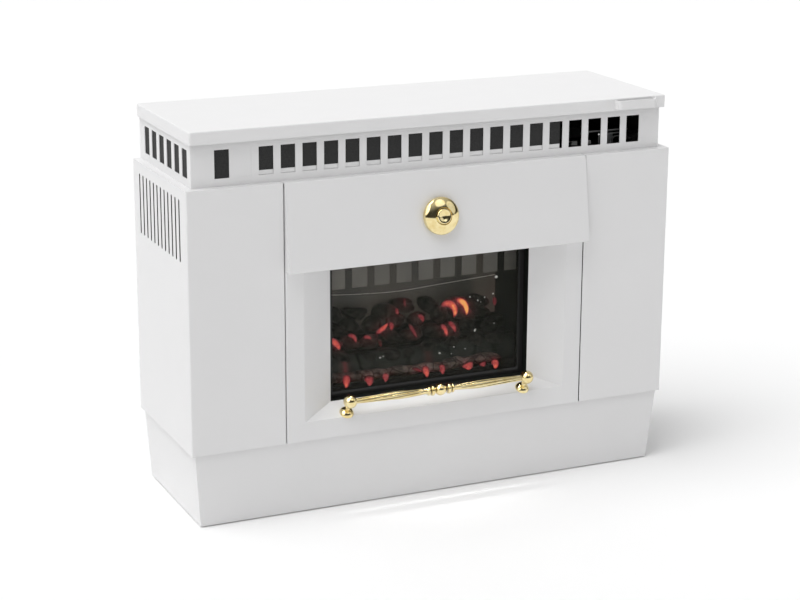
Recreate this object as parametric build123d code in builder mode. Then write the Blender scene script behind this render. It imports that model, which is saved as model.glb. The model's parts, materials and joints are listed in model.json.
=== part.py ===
"""Free-standing electric fireplace: a white sheet-steel cabinet on a tapered plinth, with a hinged lid over
a band of warm-air windows, a sloping hood with a brass knob, and a splayed surround round a glazed fire.

Millimetres. +X is the viewer's right, -Y the front, +Z up. The origin is on the floor, under the middle
of the whole object.
"""

from build123d import *

import os
from math import atan2, cos, radians, sin

os.makedirs("parts", exist_ok=True)

# ---- driving dimensions -------------------------------------------------------------------------
CASE_W = 900.0  # outside width of the main casing
CASE_D = 286.0  # its depth
PLINTH_TOP = 133.0
CASE_TOP = 585.0
BAND_TOP = 658.0  # top of the band of windows
LID_TOP = 680.0
SHEET = 1.5  # casing steel
THIN = 1.2  # internal steel
FOOT_H = 2.0

KNOB_PROUD = 21.0  # knob height above the hood's face
FRONT_KNOB_X = -5.0
KNOB_Z = 507.0
KNOB_R = 32.3
BUTTON_R = 13.0
BUTTON_CREST_R = BUTTON_R - 1.6  # where the button stands highest
HOOD_BOTTOM = 435.0
HOOD_PROUD = 22.0  # how far the hood's lower edge stands in front of the casing
GLAND_PROUD = 12.0  # cable gland behind the casing

HOOD_TILT = atan2(HOOD_PROUD, CASE_TOP - HOOD_BOTTOM)
knob_face_y = -HOOD_PROUD * (CASE_TOP - KNOB_Z) / (CASE_TOP - HOOD_BOTTOM)
front_reach = -knob_face_y + KNOB_PROUD * cos(HOOD_TILT) + BUTTON_CREST_R * sin(HOOD_TILT)

# the whole depth is centred on the origin
FRONT = front_reach - (front_reach + CASE_D + GLAND_PROUD) / 2
BACK = FRONT + CASE_D
HALF_W = CASE_W / 2
MID_Y = (FRONT + BACK) / 2

SEAM_X = 281.25  # seams between the side panels and the centre of the front
SEAM_GAP = 0.8
BEND = 2.0  # inside bend radius used for folded edges

# window band
BAND_INSET_SIDE = 14.0
BAND_INSET_FRONT = 16.0
WINDOW_W = 25.5
WINDOW_H = 47.5
WINDOW_Z = 622.0
FRONT_WINDOWS = 21
FRONT_PITCH = 38.25
SIDE_WINDOWS = 6
SIDE_PITCH = 40.0
SIDE_WINDOW_MID = 145.5  # middle of the side windows, behind the casing's front

# side air slots
SLOTS = 12
SLOT_PITCH = 19.3
SLOT_W = 6.0
SLOT_H = 105.5
SLOT_Z = 512.8
SLOT_MID = 143.0

# surround and fire opening
OPEN_W = 496.0  # opening in the front face
OPEN_BOTTOM = 167.0
OPEN_TOP = 452.0
SIGHT_W = 378.0  # opening at the back of the splay
SIGHT_BOTTOM = 187.5
SIGHT_TOP = 427.0
SPLAY_D = 30.0
GLASS_D = 46.5  # glass behind the casing's front
BOX_D = 78.0  # front wall of the firebox behind the casing's front
BOX_BACK = 215.0
BOX_W = 430.0
BOX_TOP = 437.0

case_floor = PLINTH_TOP + SHEET
SCREW_R = 1.9
SCREW_X = HALF_W - 11.0  # line of the screws that hold the back panel
SCREW_HEIGHTS = (165.0, 300.0, 435.0, 560.0)


def depth(d):
    """Y of a point d behind the casing's front face."""
    return FRONT + d


def lies_facing_front(y):
    """Sketch plane standing at y, seen from the front, with its own +Z towards -Y."""
    return Plane(origin=(0, y, 0), x_dir=(1, 0, 0), z_dir=(0, -1, 0))


def seen_from_right(x):
    """Sketch plane standing at x, with local X along +Y, local Y along +Z and its own +Z towards +X."""
    return Plane(origin=(x, 0, 0), x_dir=(0, 1, 0), z_dir=(1, 0, 0))


def opening(width, low, high):
    """Draws a rectangle centred on X, between two heights, on the current front-facing sketch."""
    with Locations((0, (low + high) / 2)):
        Rectangle(width, high - low)


def block(x0, x1, y0, y1, z0, z1, mode=Mode.ADD):
    """Puts a box between those limits into the current part."""
    with Locations(((x0 + x1) / 2, (y0 + y1) / 2, (z0 + z1) / 2)):
        Box(x1 - x0, y1 - y0, z1 - z0, mode=mode)


def save(piece, name):
    """Labels a finished piece and writes its STEP file."""
    piece.label = name
    export_step(piece, f"parts/{name}.step")
    print(name, len(piece.solids()), "solid(s)", round(piece.volume / 1000, 1), "cm3")


SPINDLE_R = 3.0
hood_normal = (0, -cos(HOOD_TILT), sin(HOOD_TILT))
knob_plane = Plane(
    origin=(FRONT_KNOB_X, FRONT + knob_face_y, KNOB_Z), x_dir=(1, 0, 0), z_dir=hood_normal
)

# ================================== plinth, feet and floor =======================================
PLINTH_BACK_INSET = 2.0
RETURN_D = 28.0  # how far the front of the plinth wraps round each corner
SEAM = 0.3
RAIL_X = 400.0  # where the rear rail meets the side pieces


def plinth_levels():
    """(z, side inset, front inset) at the bottom and top of the tapered plinth."""
    return ((FOOT_H, 17.0, 14.0), (PLINTH_TOP, 7.0, 4.0))


def plinth_rectangle(side, front, wall):
    """Draws the plinth's outline on the current sketch, shrunk by wall."""
    low_y = FRONT + front + wall
    high_y = BACK - PLINTH_BACK_INSET - wall
    with Locations((0, (low_y + high_y) / 2)):
        Rectangle(CASE_W - 2 * side - 2 * wall, high_y - low_y)


FOOT_X = 422.0
FOOT_PLACES = [(x, y) for x in (-FOOT_X, FOOT_X) for y in (FRONT + 52, BACK - 42)]
FOOT_PLUG_R = 3.0

with BuildPart() as plinth_shell:
    for z, side, front in plinth_levels():
        with BuildSketch(Plane.XY.offset(z)):
            plinth_rectangle(side, front, 0)
    loft()
    for (z, side, front), lift in zip(plinth_levels(), (SHEET, -SHEET)):
        with BuildSketch(Plane.XY.offset(z + lift)):
            plinth_rectangle(side, front, SHEET)
    loft(mode=Mode.SUBTRACT)
    with BuildSketch(Plane.XY):
        opening_low, opening_high = FRONT + 26, BACK - 22
        with Locations((0, (opening_low + opening_high) / 2)):
            Rectangle(2 * 413, opening_high - opening_low)
    extrude(amount=PLINTH_TOP + 1, mode=Mode.SUBTRACT)
    with Locations(*[(x, y, FOOT_H) for x, y in FOOT_PLACES]):
        Cylinder(FOOT_PLUG_R + 0.1, 4 * SHEET, mode=Mode.SUBTRACT)


def plinth_cut(x0, x1, y0, y1):
    """The part of the plinth shell inside one box of X and Y."""
    with BuildPart() as cut:
        add(plinth_shell.part)
        with Locations(((x0 + x1) / 2, (y0 + y1) / 2, PLINTH_TOP / 2)):
            Box(x1 - x0, y1 - y0, 2 * PLINTH_TOP, mode=Mode.INTERSECT)
    return cut.part


wrap_y = FRONT + RETURN_D
save(plinth_cut(-HALF_W, HALF_W, FRONT, wrap_y), "plinth_front")
save(plinth_cut(-HALF_W, -RAIL_X, wrap_y + SEAM, BACK), "plinth_left")
save(plinth_cut(RAIL_X, HALF_W, wrap_y + SEAM, BACK), "plinth_right")
save(plinth_cut(-RAIL_X + SEAM, RAIL_X - SEAM, wrap_y + SEAM, BACK), "plinth_rear")

with BuildPart() as feet:
    with BuildSketch():
        with Locations(*FOOT_PLACES):
            Circle(9)
    extrude(amount=FOOT_H)
    with BuildSketch(Plane.XY.offset(FOOT_H)):
        with Locations(*FOOT_PLACES):
            Circle(FOOT_PLUG_R)
    extrude(amount=6)
save(feet.part, "feet")

with BuildPart() as base_plate:
    inner = SHEET + 0.3
    with BuildSketch(Plane.XY.offset(PLINTH_TOP)):
        with Locations((0, MID_Y)):
            Rectangle(CASE_W - 2 * inner, CASE_D - 2 * inner - 2)
        with Locations((0, depth(165))):
            with GridLocations(190, 0, 2, 1):
                with GridLocations(0, 18, 1, 3):
                    SlotOverall(90, 7, mode=Mode.SUBTRACT)
    extrude(amount=SHEET)
save(base_plate.part, "base_plate")

# ================================== side panels ==================================================
LEDGE_W = 30.0  # top ledge folded inwards, under the window band

with BuildPart() as side_panel_left:
    half = SHEET / 2
    edge_x = -(SEAM_X + SEAM_GAP / 2) - half
    with BuildSketch(Plane.XY.offset(PLINTH_TOP)):
        with BuildLine():
            FilletPolyline(
                (edge_x, FRONT + 18),
                (edge_x, FRONT + half),
                (-HALF_W + half, FRONT + half),
                (-HALF_W + half, BACK - half),
                (-HALF_W + 20, BACK - half),
                radius=BEND,
            )
        trace(line_width=SHEET)
    extrude(amount=CASE_TOP - PLINTH_TOP)
    with BuildSketch(Plane.XY.offset(CASE_TOP - SHEET)):
        with BuildLine():
            Polyline(
                (-HALF_W + SHEET, FRONT + SHEET),
                (edge_x - half, FRONT + SHEET),
                (edge_x - half, FRONT + LEDGE_W),
                (-HALF_W + LEDGE_W, FRONT + LEDGE_W),
                (-HALF_W + LEDGE_W, BACK - SHEET),
                (-HALF_W + SHEET, BACK - SHEET),
                close=True,
            )
        make_face()
    extrude(amount=SHEET)
    with BuildSketch(seen_from_right(-HALF_W)):
        with Locations((depth(SLOT_MID), SLOT_Z)):
            with GridLocations(SLOT_PITCH, 0, SLOTS, 1):
                SlotOverall(SLOT_H, SLOT_W, rotation=90)
    extrude(amount=2 * SHEET, mode=Mode.SUBTRACT)
    block(-HALF_W + 2, 0, FRONT + 2, BACK - 2, PLINTH_TOP, case_floor + 0.1, Mode.SUBTRACT)
    with BuildSketch(lies_facing_front(BACK - 4)):
        with Locations(*[(-SCREW_X, z) for z in SCREW_HEIGHTS]):
            Circle(SCREW_R)
    extrude(amount=-8, mode=Mode.SUBTRACT)
save(side_panel_left.part, "side_panel_left")

with BuildPart() as side_panel_right:
    mirror(side_panel_left.part, about=Plane.YZ)
save(side_panel_right.part, "side_panel_right")

# ================================== fire surround ================================================
centre_half = SEAM_X - SEAM_GAP / 2


with BuildPart() as fire_surround:
    half = SHEET / 2
    with BuildSketch(Plane.XY.offset(PLINTH_TOP)):
        with BuildLine():
            FilletPolyline(
                (-centre_half + half, FRONT + 18),
                (-centre_half + half, FRONT + half),
                (centre_half - half, FRONT + half),
                (centre_half - half, FRONT + 18),
                radius=BEND,
            )
        trace(line_width=SHEET)
    extrude(amount=CASE_TOP - 11 - PLINTH_TOP)
    block(-SEAM_X, SEAM_X, FRONT + 2, FRONT + 30, PLINTH_TOP, case_floor + 0.1, Mode.SUBTRACT)
    with BuildSketch(lies_facing_front(FRONT + SHEET / 2)):
        opening(OPEN_W + 2 * SHEET, OPEN_BOTTOM - SHEET, OPEN_TOP + SHEET)
    with BuildSketch(lies_facing_front(FRONT + SPLAY_D)):
        opening(SIGHT_W + 2 * SHEET, SIGHT_BOTTOM - SHEET, SIGHT_TOP + SHEET)
    loft()
    with BuildSketch(lies_facing_front(FRONT)):
        opening(OPEN_W, OPEN_BOTTOM, OPEN_TOP)
    with BuildSketch(lies_facing_front(FRONT + SPLAY_D)):
        opening(SIGHT_W, SIGHT_BOTTOM, SIGHT_TOP)
    loft(mode=Mode.SUBTRACT)
    with Locations(knob_plane):
        Cylinder(SPINDLE_R + 3, 60, mode=Mode.SUBTRACT)
save(fire_surround.part, "fire_surround")

# ================================== hood =========================================================
with BuildPart() as hood:
    half = SHEET / 2
    clear = 0.4  # the hood lies just in front of the surround
    with BuildSketch(seen_from_right(-centre_half)):
        with BuildLine():
            FilletPolyline(
                (FRONT + 24, CASE_TOP - half),
                (FRONT + half, CASE_TOP - half),
                (FRONT - HOOD_PROUD + half, HOOD_BOTTOM + half),
                (FRONT - clear, HOOD_BOTTOM + half),
                radius=1.2,
            )
        trace(line_width=SHEET)
    extrude(amount=2 * centre_half)
    for x in (-centre_half, centre_half - SHEET):
        with BuildSketch(seen_from_right(x)):
            with BuildLine():
                Polyline(
                    (FRONT - clear, CASE_TOP - 4),
                    (FRONT - HOOD_PROUD + SHEET, HOOD_BOTTOM + half),
                    (FRONT - clear, HOOD_BOTTOM + half),
                    close=True,
                )
            make_face()
        extrude(amount=SHEET)
    with Locations(knob_plane):
        Cylinder(SPINDLE_R + 0.5, 6 * SHEET, mode=Mode.SUBTRACT)
save(hood.part, "hood")

# ================================== brass knob and its spindle ===================================
knob_section = Plane(origin=knob_plane.origin, x_dir=(1, 0, 0), z_dir=(0, -sin(HOOD_TILT), -cos(HOOD_TILT)))
rim = KNOB_PROUD - 12.5  # height of the dish's rim above the hood

with BuildPart() as front_knob:
    with BuildSketch(knob_section):
        # radius along local X, height above the hood along local Y
        with BuildLine():
            Polyline(
                (0, 1.0), (KNOB_R - 3.0, 1.0), (KNOB_R, 4.0), (KNOB_R, rim), (KNOB_R - 1.0, rim + 2.2)
            )
            ThreePointArc((KNOB_R - 1.0, rim + 2.2), (23.0, rim + 7.2), (BUTTON_R + 2.2, rim + 9.6))
            Polyline(
                (BUTTON_R + 2.2, rim + 9.6), (BUTTON_R + 1.4, rim + 7.8), (BUTTON_R, rim + 7.8),
                (BUTTON_R, rim + 10.9),
            )
            ThreePointArc(
                (BUTTON_R, rim + 10.9), (BUTTON_R - 0.47, rim + 12.03), (BUTTON_CREST_R, rim + 12.5)
            )
            Spline(
                (BUTTON_CREST_R, rim + 12.5), (5.5, rim + 10.9), (0, rim + 10.2), tangents=((-1, 0), (-1, 0))
            )
            Line((0, rim + 10.2), (0, 1.0))
        make_face()
    revolve(axis=Axis(knob_plane.origin, hood_normal))
    with Locations(knob_plane):
        Cylinder(SPINDLE_R, 11, align=(Align.CENTER, Align.CENTER, Align.MIN), mode=Mode.SUBTRACT)
save(front_knob.part, "front_knob")

SPINDLE_IN = 38.0  # spindle and control behind the hood's face
with BuildPart() as knob_spindle:
    with Locations(knob_plane.offset(-SPINDLE_IN)):
        Cylinder(SPINDLE_R, SPINDLE_IN + 11, align=(Align.CENTER, Align.CENTER, Align.MIN))
save(knob_spindle.part, "knob_spindle")

with BuildPart() as knob_control:
    with Locations(knob_plane.offset(-SPINDLE_IN - 2)):
        Cylinder(14, SPINDLE_IN, align=(Align.CENTER, Align.CENTER, Align.MIN))
    block(-50, 50, FRONT - 50, FRONT + SHEET, CASE_TOP - 200, CASE_TOP, Mode.SUBTRACT)
    with Locations(knob_plane.offset(-SPINDLE_IN - 0.2)):
        Cylinder(
            SPINDLE_R + 0.05, 60, align=(Align.CENTER, Align.CENTER, Align.MIN), mode=Mode.SUBTRACT
        )
save(knob_control.part, "knob_control")

# ================================== back of the case =============================================
WALL_HOLE_X = 300.0  # holes that tie the case to a wall
WALL_HOLE_Z = 545.0
WALL_HOLE_R = 3.0
GLAND_X, GLAND_Z, GLAND_R, GLAND_BORE = 380.0, 172.0, 8.0, 4.0
panel_outer = BACK - SHEET

with BuildPart() as back_panel:
    with BuildSketch(lies_facing_front(panel_outer)):
        opening(2 * (HALF_W - 5), case_floor, CASE_TOP - SHEET - 0.5)
        with Locations(*[(s * SCREW_X, z) for s in (-1, 1) for z in SCREW_HEIGHTS]):
            Circle(SCREW_R, mode=Mode.SUBTRACT)
        with Locations((-WALL_HOLE_X, WALL_HOLE_Z), (WALL_HOLE_X, WALL_HOLE_Z)):
            Circle(WALL_HOLE_R, mode=Mode.SUBTRACT)
        with Locations((GLAND_X, GLAND_Z)):
            Circle(GLAND_R, mode=Mode.SUBTRACT)
        with Locations((0, 470)):
            with GridLocations(22, 0, 16, 1):
                SlotOverall(70, 6, rotation=90, mode=Mode.SUBTRACT)
    extrude(amount=SHEET)
save(back_panel.part, "back_panel")

with BuildPart() as back_screws:
    screw_places = [(s * SCREW_X, z) for s in (-1, 1) for z in SCREW_HEIGHTS]
    with BuildSketch(lies_facing_front(BACK)):
        with Locations(*screw_places):
            Circle(SCREW_R)
    extrude(amount=2 * SHEET + 4)
    with BuildSketch(lies_facing_front(BACK + 2.4)):
        with Locations(*screw_places):
            Circle(4)
    extrude(amount=2.4)
save(back_screws.part, "back_screws")

with BuildPart() as cable_gland:
    with BuildSketch(lies_facing_front(BACK + GLAND_PROUD)):
        with Locations((GLAND_X, GLAND_Z)):
            RegularPolygon(11, 6)
    extrude(amount=GLAND_PROUD + SHEET)
    with BuildSketch(lies_facing_front(panel_outer)):
        with Locations((GLAND_X, GLAND_Z)):
            Circle(GLAND_R)
    extrude(amount=12)
    with BuildSketch(lies_facing_front(panel_outer - SHEET)):
        with Locations((GLAND_X, GLAND_Z)):
            RegularPolygon(12, 6)
    extrude(amount=5)
    with BuildSketch(lies_facing_front(BACK + GLAND_PROUD)):
        with Locations((GLAND_X, GLAND_Z)):
            Circle(GLAND_BORE)
    extrude(amount=60, mode=Mode.SUBTRACT)
save(cable_gland.part, "cable_gland")

# ================================== fire opening, glass and firebox ==============================
box_half = BOX_W / 2

with BuildPart() as fire_reveal:
    with BuildSketch(lies_facing_front(depth(BOX_D))):
        opening(BOX_W, case_floor, BOX_TOP)
    extrude(amount=THIN)
    with BuildSketch(lies_facing_front(depth(BOX_D))):
        opening(SIGHT_W + 2 * THIN, SIGHT_BOTTOM - THIN, SIGHT_TOP + THIN)
    extrude(amount=BOX_D - SPLAY_D)
    with BuildSketch(lies_facing_front(depth(BOX_D))):
        opening(SIGHT_W, SIGHT_BOTTOM, SIGHT_TOP)
    extrude(amount=BOX_D, mode=Mode.SUBTRACT)
save(fire_reveal.part, "fire_reveal")

GLASS_T = 4.0
GLASS_GAP = 0.4
SEAL_T = 3.0
SEAL_W = 6.0
with BuildPart() as fire_glass:
    with BuildSketch(lies_facing_front(depth(GLASS_D))):
        opening(SIGHT_W - 2 * GLASS_GAP, SIGHT_BOTTOM + GLASS_GAP, SIGHT_TOP - GLASS_GAP)
    extrude(amount=-GLASS_T)
save(fire_glass.part, "fire_glass")

with BuildPart() as glass_seal:
    with BuildSketch(lies_facing_front(depth(GLASS_D + GLASS_T))):
        opening(SIGHT_W, SIGHT_BOTTOM, SIGHT_TOP)
        with Locations((0, (SIGHT_BOTTOM + SIGHT_TOP) / 2)):
            Rectangle(SIGHT_W - 2 * SEAL_W, SIGHT_TOP - SIGHT_BOTTOM - 2 * SEAL_W, mode=Mode.SUBTRACT)
    extrude(amount=-SEAL_T)
save(glass_seal.part, "glass_seal")

CLIP = 14.0
with BuildPart() as glass_clips:
    for side in (-1, 1):
        for z in (SIGHT_BOTTOM + 55, SIGHT_TOP - 55):
            edge = side * SIGHT_W / 2
            clip_y = depth(GLASS_D + GLASS_T + SEAL_T)
            block(*sorted((edge, edge - side * 2)), clip_y, clip_y + 12, z - CLIP / 2, z + CLIP / 2)
            block(*sorted((edge, edge - side * 9)), clip_y, clip_y + 2, z - CLIP / 2, z + CLIP / 2)
save(glass_clips.part, "glass_clips")

with BuildPart() as firebox:
    block(-box_half, box_half, depth(BOX_D), depth(BOX_BACK), case_floor, BOX_TOP)
    block(
        -box_half + THIN, box_half - THIN, depth(BOX_D) - 1, depth(BOX_BACK) - THIN,
        case_floor - 1, BOX_TOP - THIN, Mode.SUBTRACT,
    )
save(firebox.part, "firebox")

TAB_W, TAB_PITCH, TABS = 28.0, 42.0, 10
TAB_ROW_X = -6.5  # middle of the row of tabs
TAB_BOTTOM, TAB_ROOT = 369.0, 418.0
with BuildPart() as canopy_tabs:
    with BuildSketch(lies_facing_front(depth(BOX_D + 5))):
        opening(BOX_W - 2 * THIN, TAB_ROOT, BOX_TOP - THIN)
        with Locations((TAB_ROW_X, (TAB_BOTTOM + TAB_ROOT) / 2)):
            with GridLocations(TAB_PITCH, 0, TABS, 1):
                Rectangle(TAB_W, TAB_ROOT - TAB_BOTTOM)
    extrude(amount=-THIN)
save(canopy_tabs.part, "canopy_tabs")

# ================================== fuel bed and coals ===========================================
STEPS = 4
STEP_D = 30.0
STEP_RISE = 20.0
BED_FRONT = BOX_D + 3.0
BED_BASE = 196.0  # top of the front step
BED_T = 4.0
bed_half = box_half - THIN


def step_top(row):
    """Height of the top of one step of the fuel bed, front row first."""
    return BED_BASE + row * STEP_RISE


with BuildPart() as fuel_bed:
    for row in range(STEPS):
        y = depth(BED_FRONT + row * STEP_D)
        below = step_top(row - 1) - BED_T if row else BED_BASE - 12
        block(-bed_half, bed_half, y, y + STEP_D, step_top(row) - BED_T, step_top(row))
        block(-bed_half, bed_half, y, y + BED_T, below, step_top(row))
save(fuel_bed.part, "fuel_bed")

COAL_PITCH = 46.0
COALS_PER_ROW = 9
COAL_CHAMFER = 6.0
with BuildPart() as coal:
    Box(34, 21, 20, align=(Align.CENTER, Align.CENTER, Align.MIN))
    chamfer(coal.edges(), COAL_CHAMFER)

with BuildPart() as coals:
    for row in range(STEPS):
        for column in range(COALS_PER_ROW - row % 2):
            x = (column - (COALS_PER_ROW - row % 2 - 1) / 2) * COAL_PITCH * 0.98
            y = depth(BED_FRONT + BED_T + 12.5 + row * STEP_D)
            with Locations(Location((x, y, step_top(row)), (0, 0, (37 * column + 11 * row) % 9 - 4))):
                add(coal.part)
save(coals.part, "coals")

SCREEN_D = 207.0
with BuildPart() as flame_screen:
    with BuildSketch(lies_facing_front(depth(SCREEN_D))):
        opening(2 * bed_half, step_top(STEPS - 1) - 20, BOX_TOP - THIN)
    extrude(amount=-2)
save(flame_screen.part, "flame_screen")

# ================================== lamps and flame spinners =====================================
LAMP_X = 95.0
LAMP_D = 146.0
LAMP_Z = 158.0
LAMP_R = 16.0
LAMP_L = 70.0
HOLDER_R = 14.0
SPINNER_R = 38.0
SPINNER_Z = 184.0
PIN_R = 0.9
PIN_TOP = 190.0


def lamp_plane(side, along):
    """Plane across a lamp, a distance along its axis from the middle of the fire's floor."""
    return Plane(origin=(side * along, depth(LAMP_D), LAMP_Z), x_dir=(0, 1, 0), z_dir=(side, 0, 0))


with BuildPart() as lampholders:
    for side in (-1, 1):
        with BuildSketch(lamp_plane(side, LAMP_X + 40)):
            Circle(HOLDER_R)
        extrude(amount=32)
        block(
            *sorted((side * (LAMP_X + 52), side * (LAMP_X + 60))), depth(LAMP_D - 12), depth(LAMP_D + 12),
            case_floor, LAMP_Z,
        )
        with BuildSketch(lamp_plane(side, LAMP_X + 40)):
            Circle(7)
        extrude(amount=24, mode=Mode.SUBTRACT)
save(lampholders.part, "lampholders")

with BuildPart() as lamps:
    for side in (-1, 1):
        tip = LAMP_X + 40 - LAMP_L
        tip_point = (side * tip, depth(LAMP_D), LAMP_Z)
        with BuildSketch(Plane(origin=tip_point, x_dir=(side, 0, 0), z_dir=(0, -1, 0))):
            with BuildLine():
                Spline((0, 0), (10, 8), (34, LAMP_R), (LAMP_L - 1, 9), tangents=((0, 1), (1, -0.6)))
                Polyline((LAMP_L - 1, 9), (LAMP_L, 7), (LAMP_L + 22, 7), (LAMP_L + 22, 0), (0, 0))
            make_face()
        revolve(axis=Axis((0, depth(LAMP_D), LAMP_Z), (1, 0, 0)))
save(lamps.part, "lamps")

with BuildPart() as spinner_pins:
    for side in (-1, 1):
        x = side * (LAMP_X + 2)
        bar = 3.0
        with BuildSketch(seen_from_right(x - bar / 2)):
            with BuildLine():
                FilletPolyline(
                    (depth(LAMP_D - 24), case_floor), (depth(LAMP_D - 24), LAMP_Z + 19.5),
                    (depth(LAMP_D + 24), LAMP_Z + 19.5), (depth(LAMP_D + 24), case_floor), radius=8,
                )
            trace(line_width=2)
        extrude(amount=bar)
        with Locations((x, depth(LAMP_D), LAMP_Z + 19)):
            Cone(PIN_R, 0.25, PIN_TOP - LAMP_Z - 19, align=(Align.CENTER, Align.CENTER, Align.MIN))
save(spinner_pins.part, "spinner_pins")

VANES = 8
for name, side in (("spinner_left", -1), ("spinner_right", 1)):
    with BuildPart() as spinner:
        x = side * (LAMP_X + 2)
        with BuildSketch(Plane.XY.offset(SPINNER_Z)):
            with Locations((x, depth(LAMP_D))):
                Circle(SPINNER_R)
                with PolarLocations(SPINNER_R * 0.6, VANES):
                    SlotOverall(SPINNER_R * 0.62, 7, mode=Mode.SUBTRACT)
        extrude(amount=0.8)
        with Locations((x, depth(LAMP_D), SPINNER_Z)):
            Cylinder(4, PIN_TOP + 1.5 - SPINNER_Z, align=(Align.CENTER, Align.CENTER, Align.MIN))
        with Locations((x, depth(LAMP_D), SPINNER_Z - 1)):
            Cylinder(1.2, PIN_TOP + 0.3 - SPINNER_Z + 1, align=(Align.CENTER, Align.CENTER, Align.MIN),
                     mode=Mode.SUBTRACT)
    save(spinner.part, name)

# ================================== fender bar on the sill =======================================
POST_X = 169.0
POST_FOOT_D = 7.0  # where the posts stand, behind the casing's front
POST_LENGTH = 30.0  # sill to the middle of the ball
POST_R = 4.0
FOOT_R = 12.6
BALL_R = 12.0
BAR_THIN_R, BAR_THICK_R = 4.5, 7.8
MID_BALL_R = 10.8
RING_R = 8.4
SOCKET = 4.0  # depth left between a socket and the middle of a ball

sill_slope = atan2(SIGHT_BOTTOM - OPEN_BOTTOM, SPLAY_D)
sill_normal = (0, -sin(sill_slope), cos(sill_slope))
foot_z = OPEN_BOTTOM + POST_FOOT_D * (SIGHT_BOTTOM - OPEN_BOTTOM) / SPLAY_D
bar_y = depth(POST_FOOT_D) - POST_LENGTH * sin(sill_slope)
bar_z = foot_z + POST_LENGTH * cos(sill_slope)


def sill_plane(side):
    """Plane on the sill where one post stands."""
    return Plane(origin=(side * POST_X, depth(POST_FOOT_D), foot_z), x_dir=(1, 0, 0), z_dir=sill_normal)


with BuildPart() as fender_posts:
    for side in (-1, 1):
        foot_section = Plane(
            origin=sill_plane(side).origin, x_dir=(1, 0, 0), z_dir=(0, -cos(sill_slope), -sin(sill_slope))
        )
        with BuildSketch(foot_section):
            with BuildLine():
                Line((0, 0), (FOOT_R, 0))
                ThreePointArc((FOOT_R, 0), (FOOT_R * 0.78, 4.6), (POST_R, 7.5))
                Polyline((POST_R, 7.5), (POST_R, POST_LENGTH - SOCKET), (0, POST_LENGTH - SOCKET), (0, 0))
            make_face()
        revolve(axis=Axis(sill_plane(side).origin, sill_normal))
save(fender_posts.part, "fender_posts")

with BuildPart() as fender_balls:
    for side in (-1, 1):
        with Locations((side * POST_X, bar_y, bar_z)):
            Sphere(BALL_R)
        with Locations(sill_plane(side)):
            Cylinder(
                POST_R, POST_LENGTH - SOCKET, align=(Align.CENTER, Align.CENTER, Align.MIN),
                mode=Mode.SUBTRACT,
            )
    with Locations(Location((0, bar_y, bar_z), (0, 90, 0))):
        Cylinder(BAR_THIN_R, 2 * (POST_X - SOCKET), mode=Mode.SUBTRACT)
save(fender_balls.part, "fender_balls")

with BuildPart() as fender_bar:
    bar_end = POST_X - SOCKET
    with BuildSketch(Plane(origin=(0, bar_y, bar_z), x_dir=(1, 0, 0), z_dir=(0, -1, 0))):
        with BuildLine():
            Line((0, 0), (0, MID_BALL_R))
            RadiusArc((0, MID_BALL_R), (9.95, 4.2), MID_BALL_R)
            Polyline(
                (9.95, 4.2), (13.0, 4.2), (13.0, RING_R), (18.0, RING_R), (18.0, 5.0), (21.0, 5.0),
                (21.0, 7.6), (24.0, 7.6),
            )
            Spline(
                (24.0, 7.6), (34.0, 5.6), (58.0, BAR_THICK_R), (142.0, BAR_THIN_R + 0.5),
                (POST_X - BALL_R, BAR_THIN_R), tangents=((0.6, -1), (1, 0)),
            )
            Polyline((POST_X - BALL_R, BAR_THIN_R), (bar_end, BAR_THIN_R), (bar_end, 0), (0, 0))
        make_face()
    revolve(axis=Axis((0, bar_y, bar_z), (1, 0, 0)))
    mirror(about=Plane.YZ)
save(fender_bar.part, "fender_bar")

# ================================== window band ==================================================
band_half = HALF_W - BAND_INSET_SIDE
band_front = depth(BAND_INSET_FRONT)
band_mid_z = (CASE_TOP + BAND_TOP) / 2
band_height = BAND_TOP - CASE_TOP
window_places = [FRONT_PITCH * (i - (FRONT_WINDOWS - 1) / 2) for i in range(FRONT_WINDOWS)]
blind_window = window_places[1]
BLIND_DEPTH = 0.6

with BuildPart() as vent_band_front:
    with BuildSketch(lies_facing_front(band_front + SHEET)):
        opening(2 * band_half, CASE_TOP, BAND_TOP)
        with Locations(*[(x, WINDOW_Z) for x in window_places if x != blind_window]):
            Rectangle(WINDOW_W, WINDOW_H, mode=Mode.SUBTRACT)
    extrude(amount=SHEET)
    # the sheet is only pressed in where the duct's end stands behind it
    block(
        blind_window - WINDOW_W / 2, blind_window + WINDOW_W / 2, band_front - 1, band_front + BLIND_DEPTH,
        WINDOW_Z - WINDOW_H / 2, WINDOW_Z + WINDOW_H / 2, Mode.SUBTRACT,
    )
    corner_edges = vent_band_front.edges().filter_by(Axis.Z).group_by(Axis.Y)[0]
    fillet([corner_edges.sort_by(Axis.X)[0], corner_edges.sort_by(Axis.X)[-1]], 1.2)
save(vent_band_front.part, "vent_band_front")

for name, side in (("vent_band_left", -1), ("vent_band_right", 1)):
    with BuildPart() as band_side:
        y0, y1 = band_front + SHEET, BACK - SHEET
        with BuildSketch(seen_from_right(side * (band_half - SHEET / 2))):
            with Locations(((y0 + y1) / 2, band_mid_z)):
                Rectangle(y1 - y0, band_height)
            with Locations((depth(SIDE_WINDOW_MID), WINDOW_Z)):
                with GridLocations(SIDE_PITCH, 0, SIDE_WINDOWS, 1):
                    Rectangle(WINDOW_W, WINDOW_H, mode=Mode.SUBTRACT)
        extrude(amount=SHEET / 2, both=True)
    save(band_side.part, name)

with BuildPart() as vent_band_rear:
    block(-band_half, band_half, BACK - SHEET, BACK, CASE_TOP, BAND_TOP)
save(vent_band_rear.part, "vent_band_rear")

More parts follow.
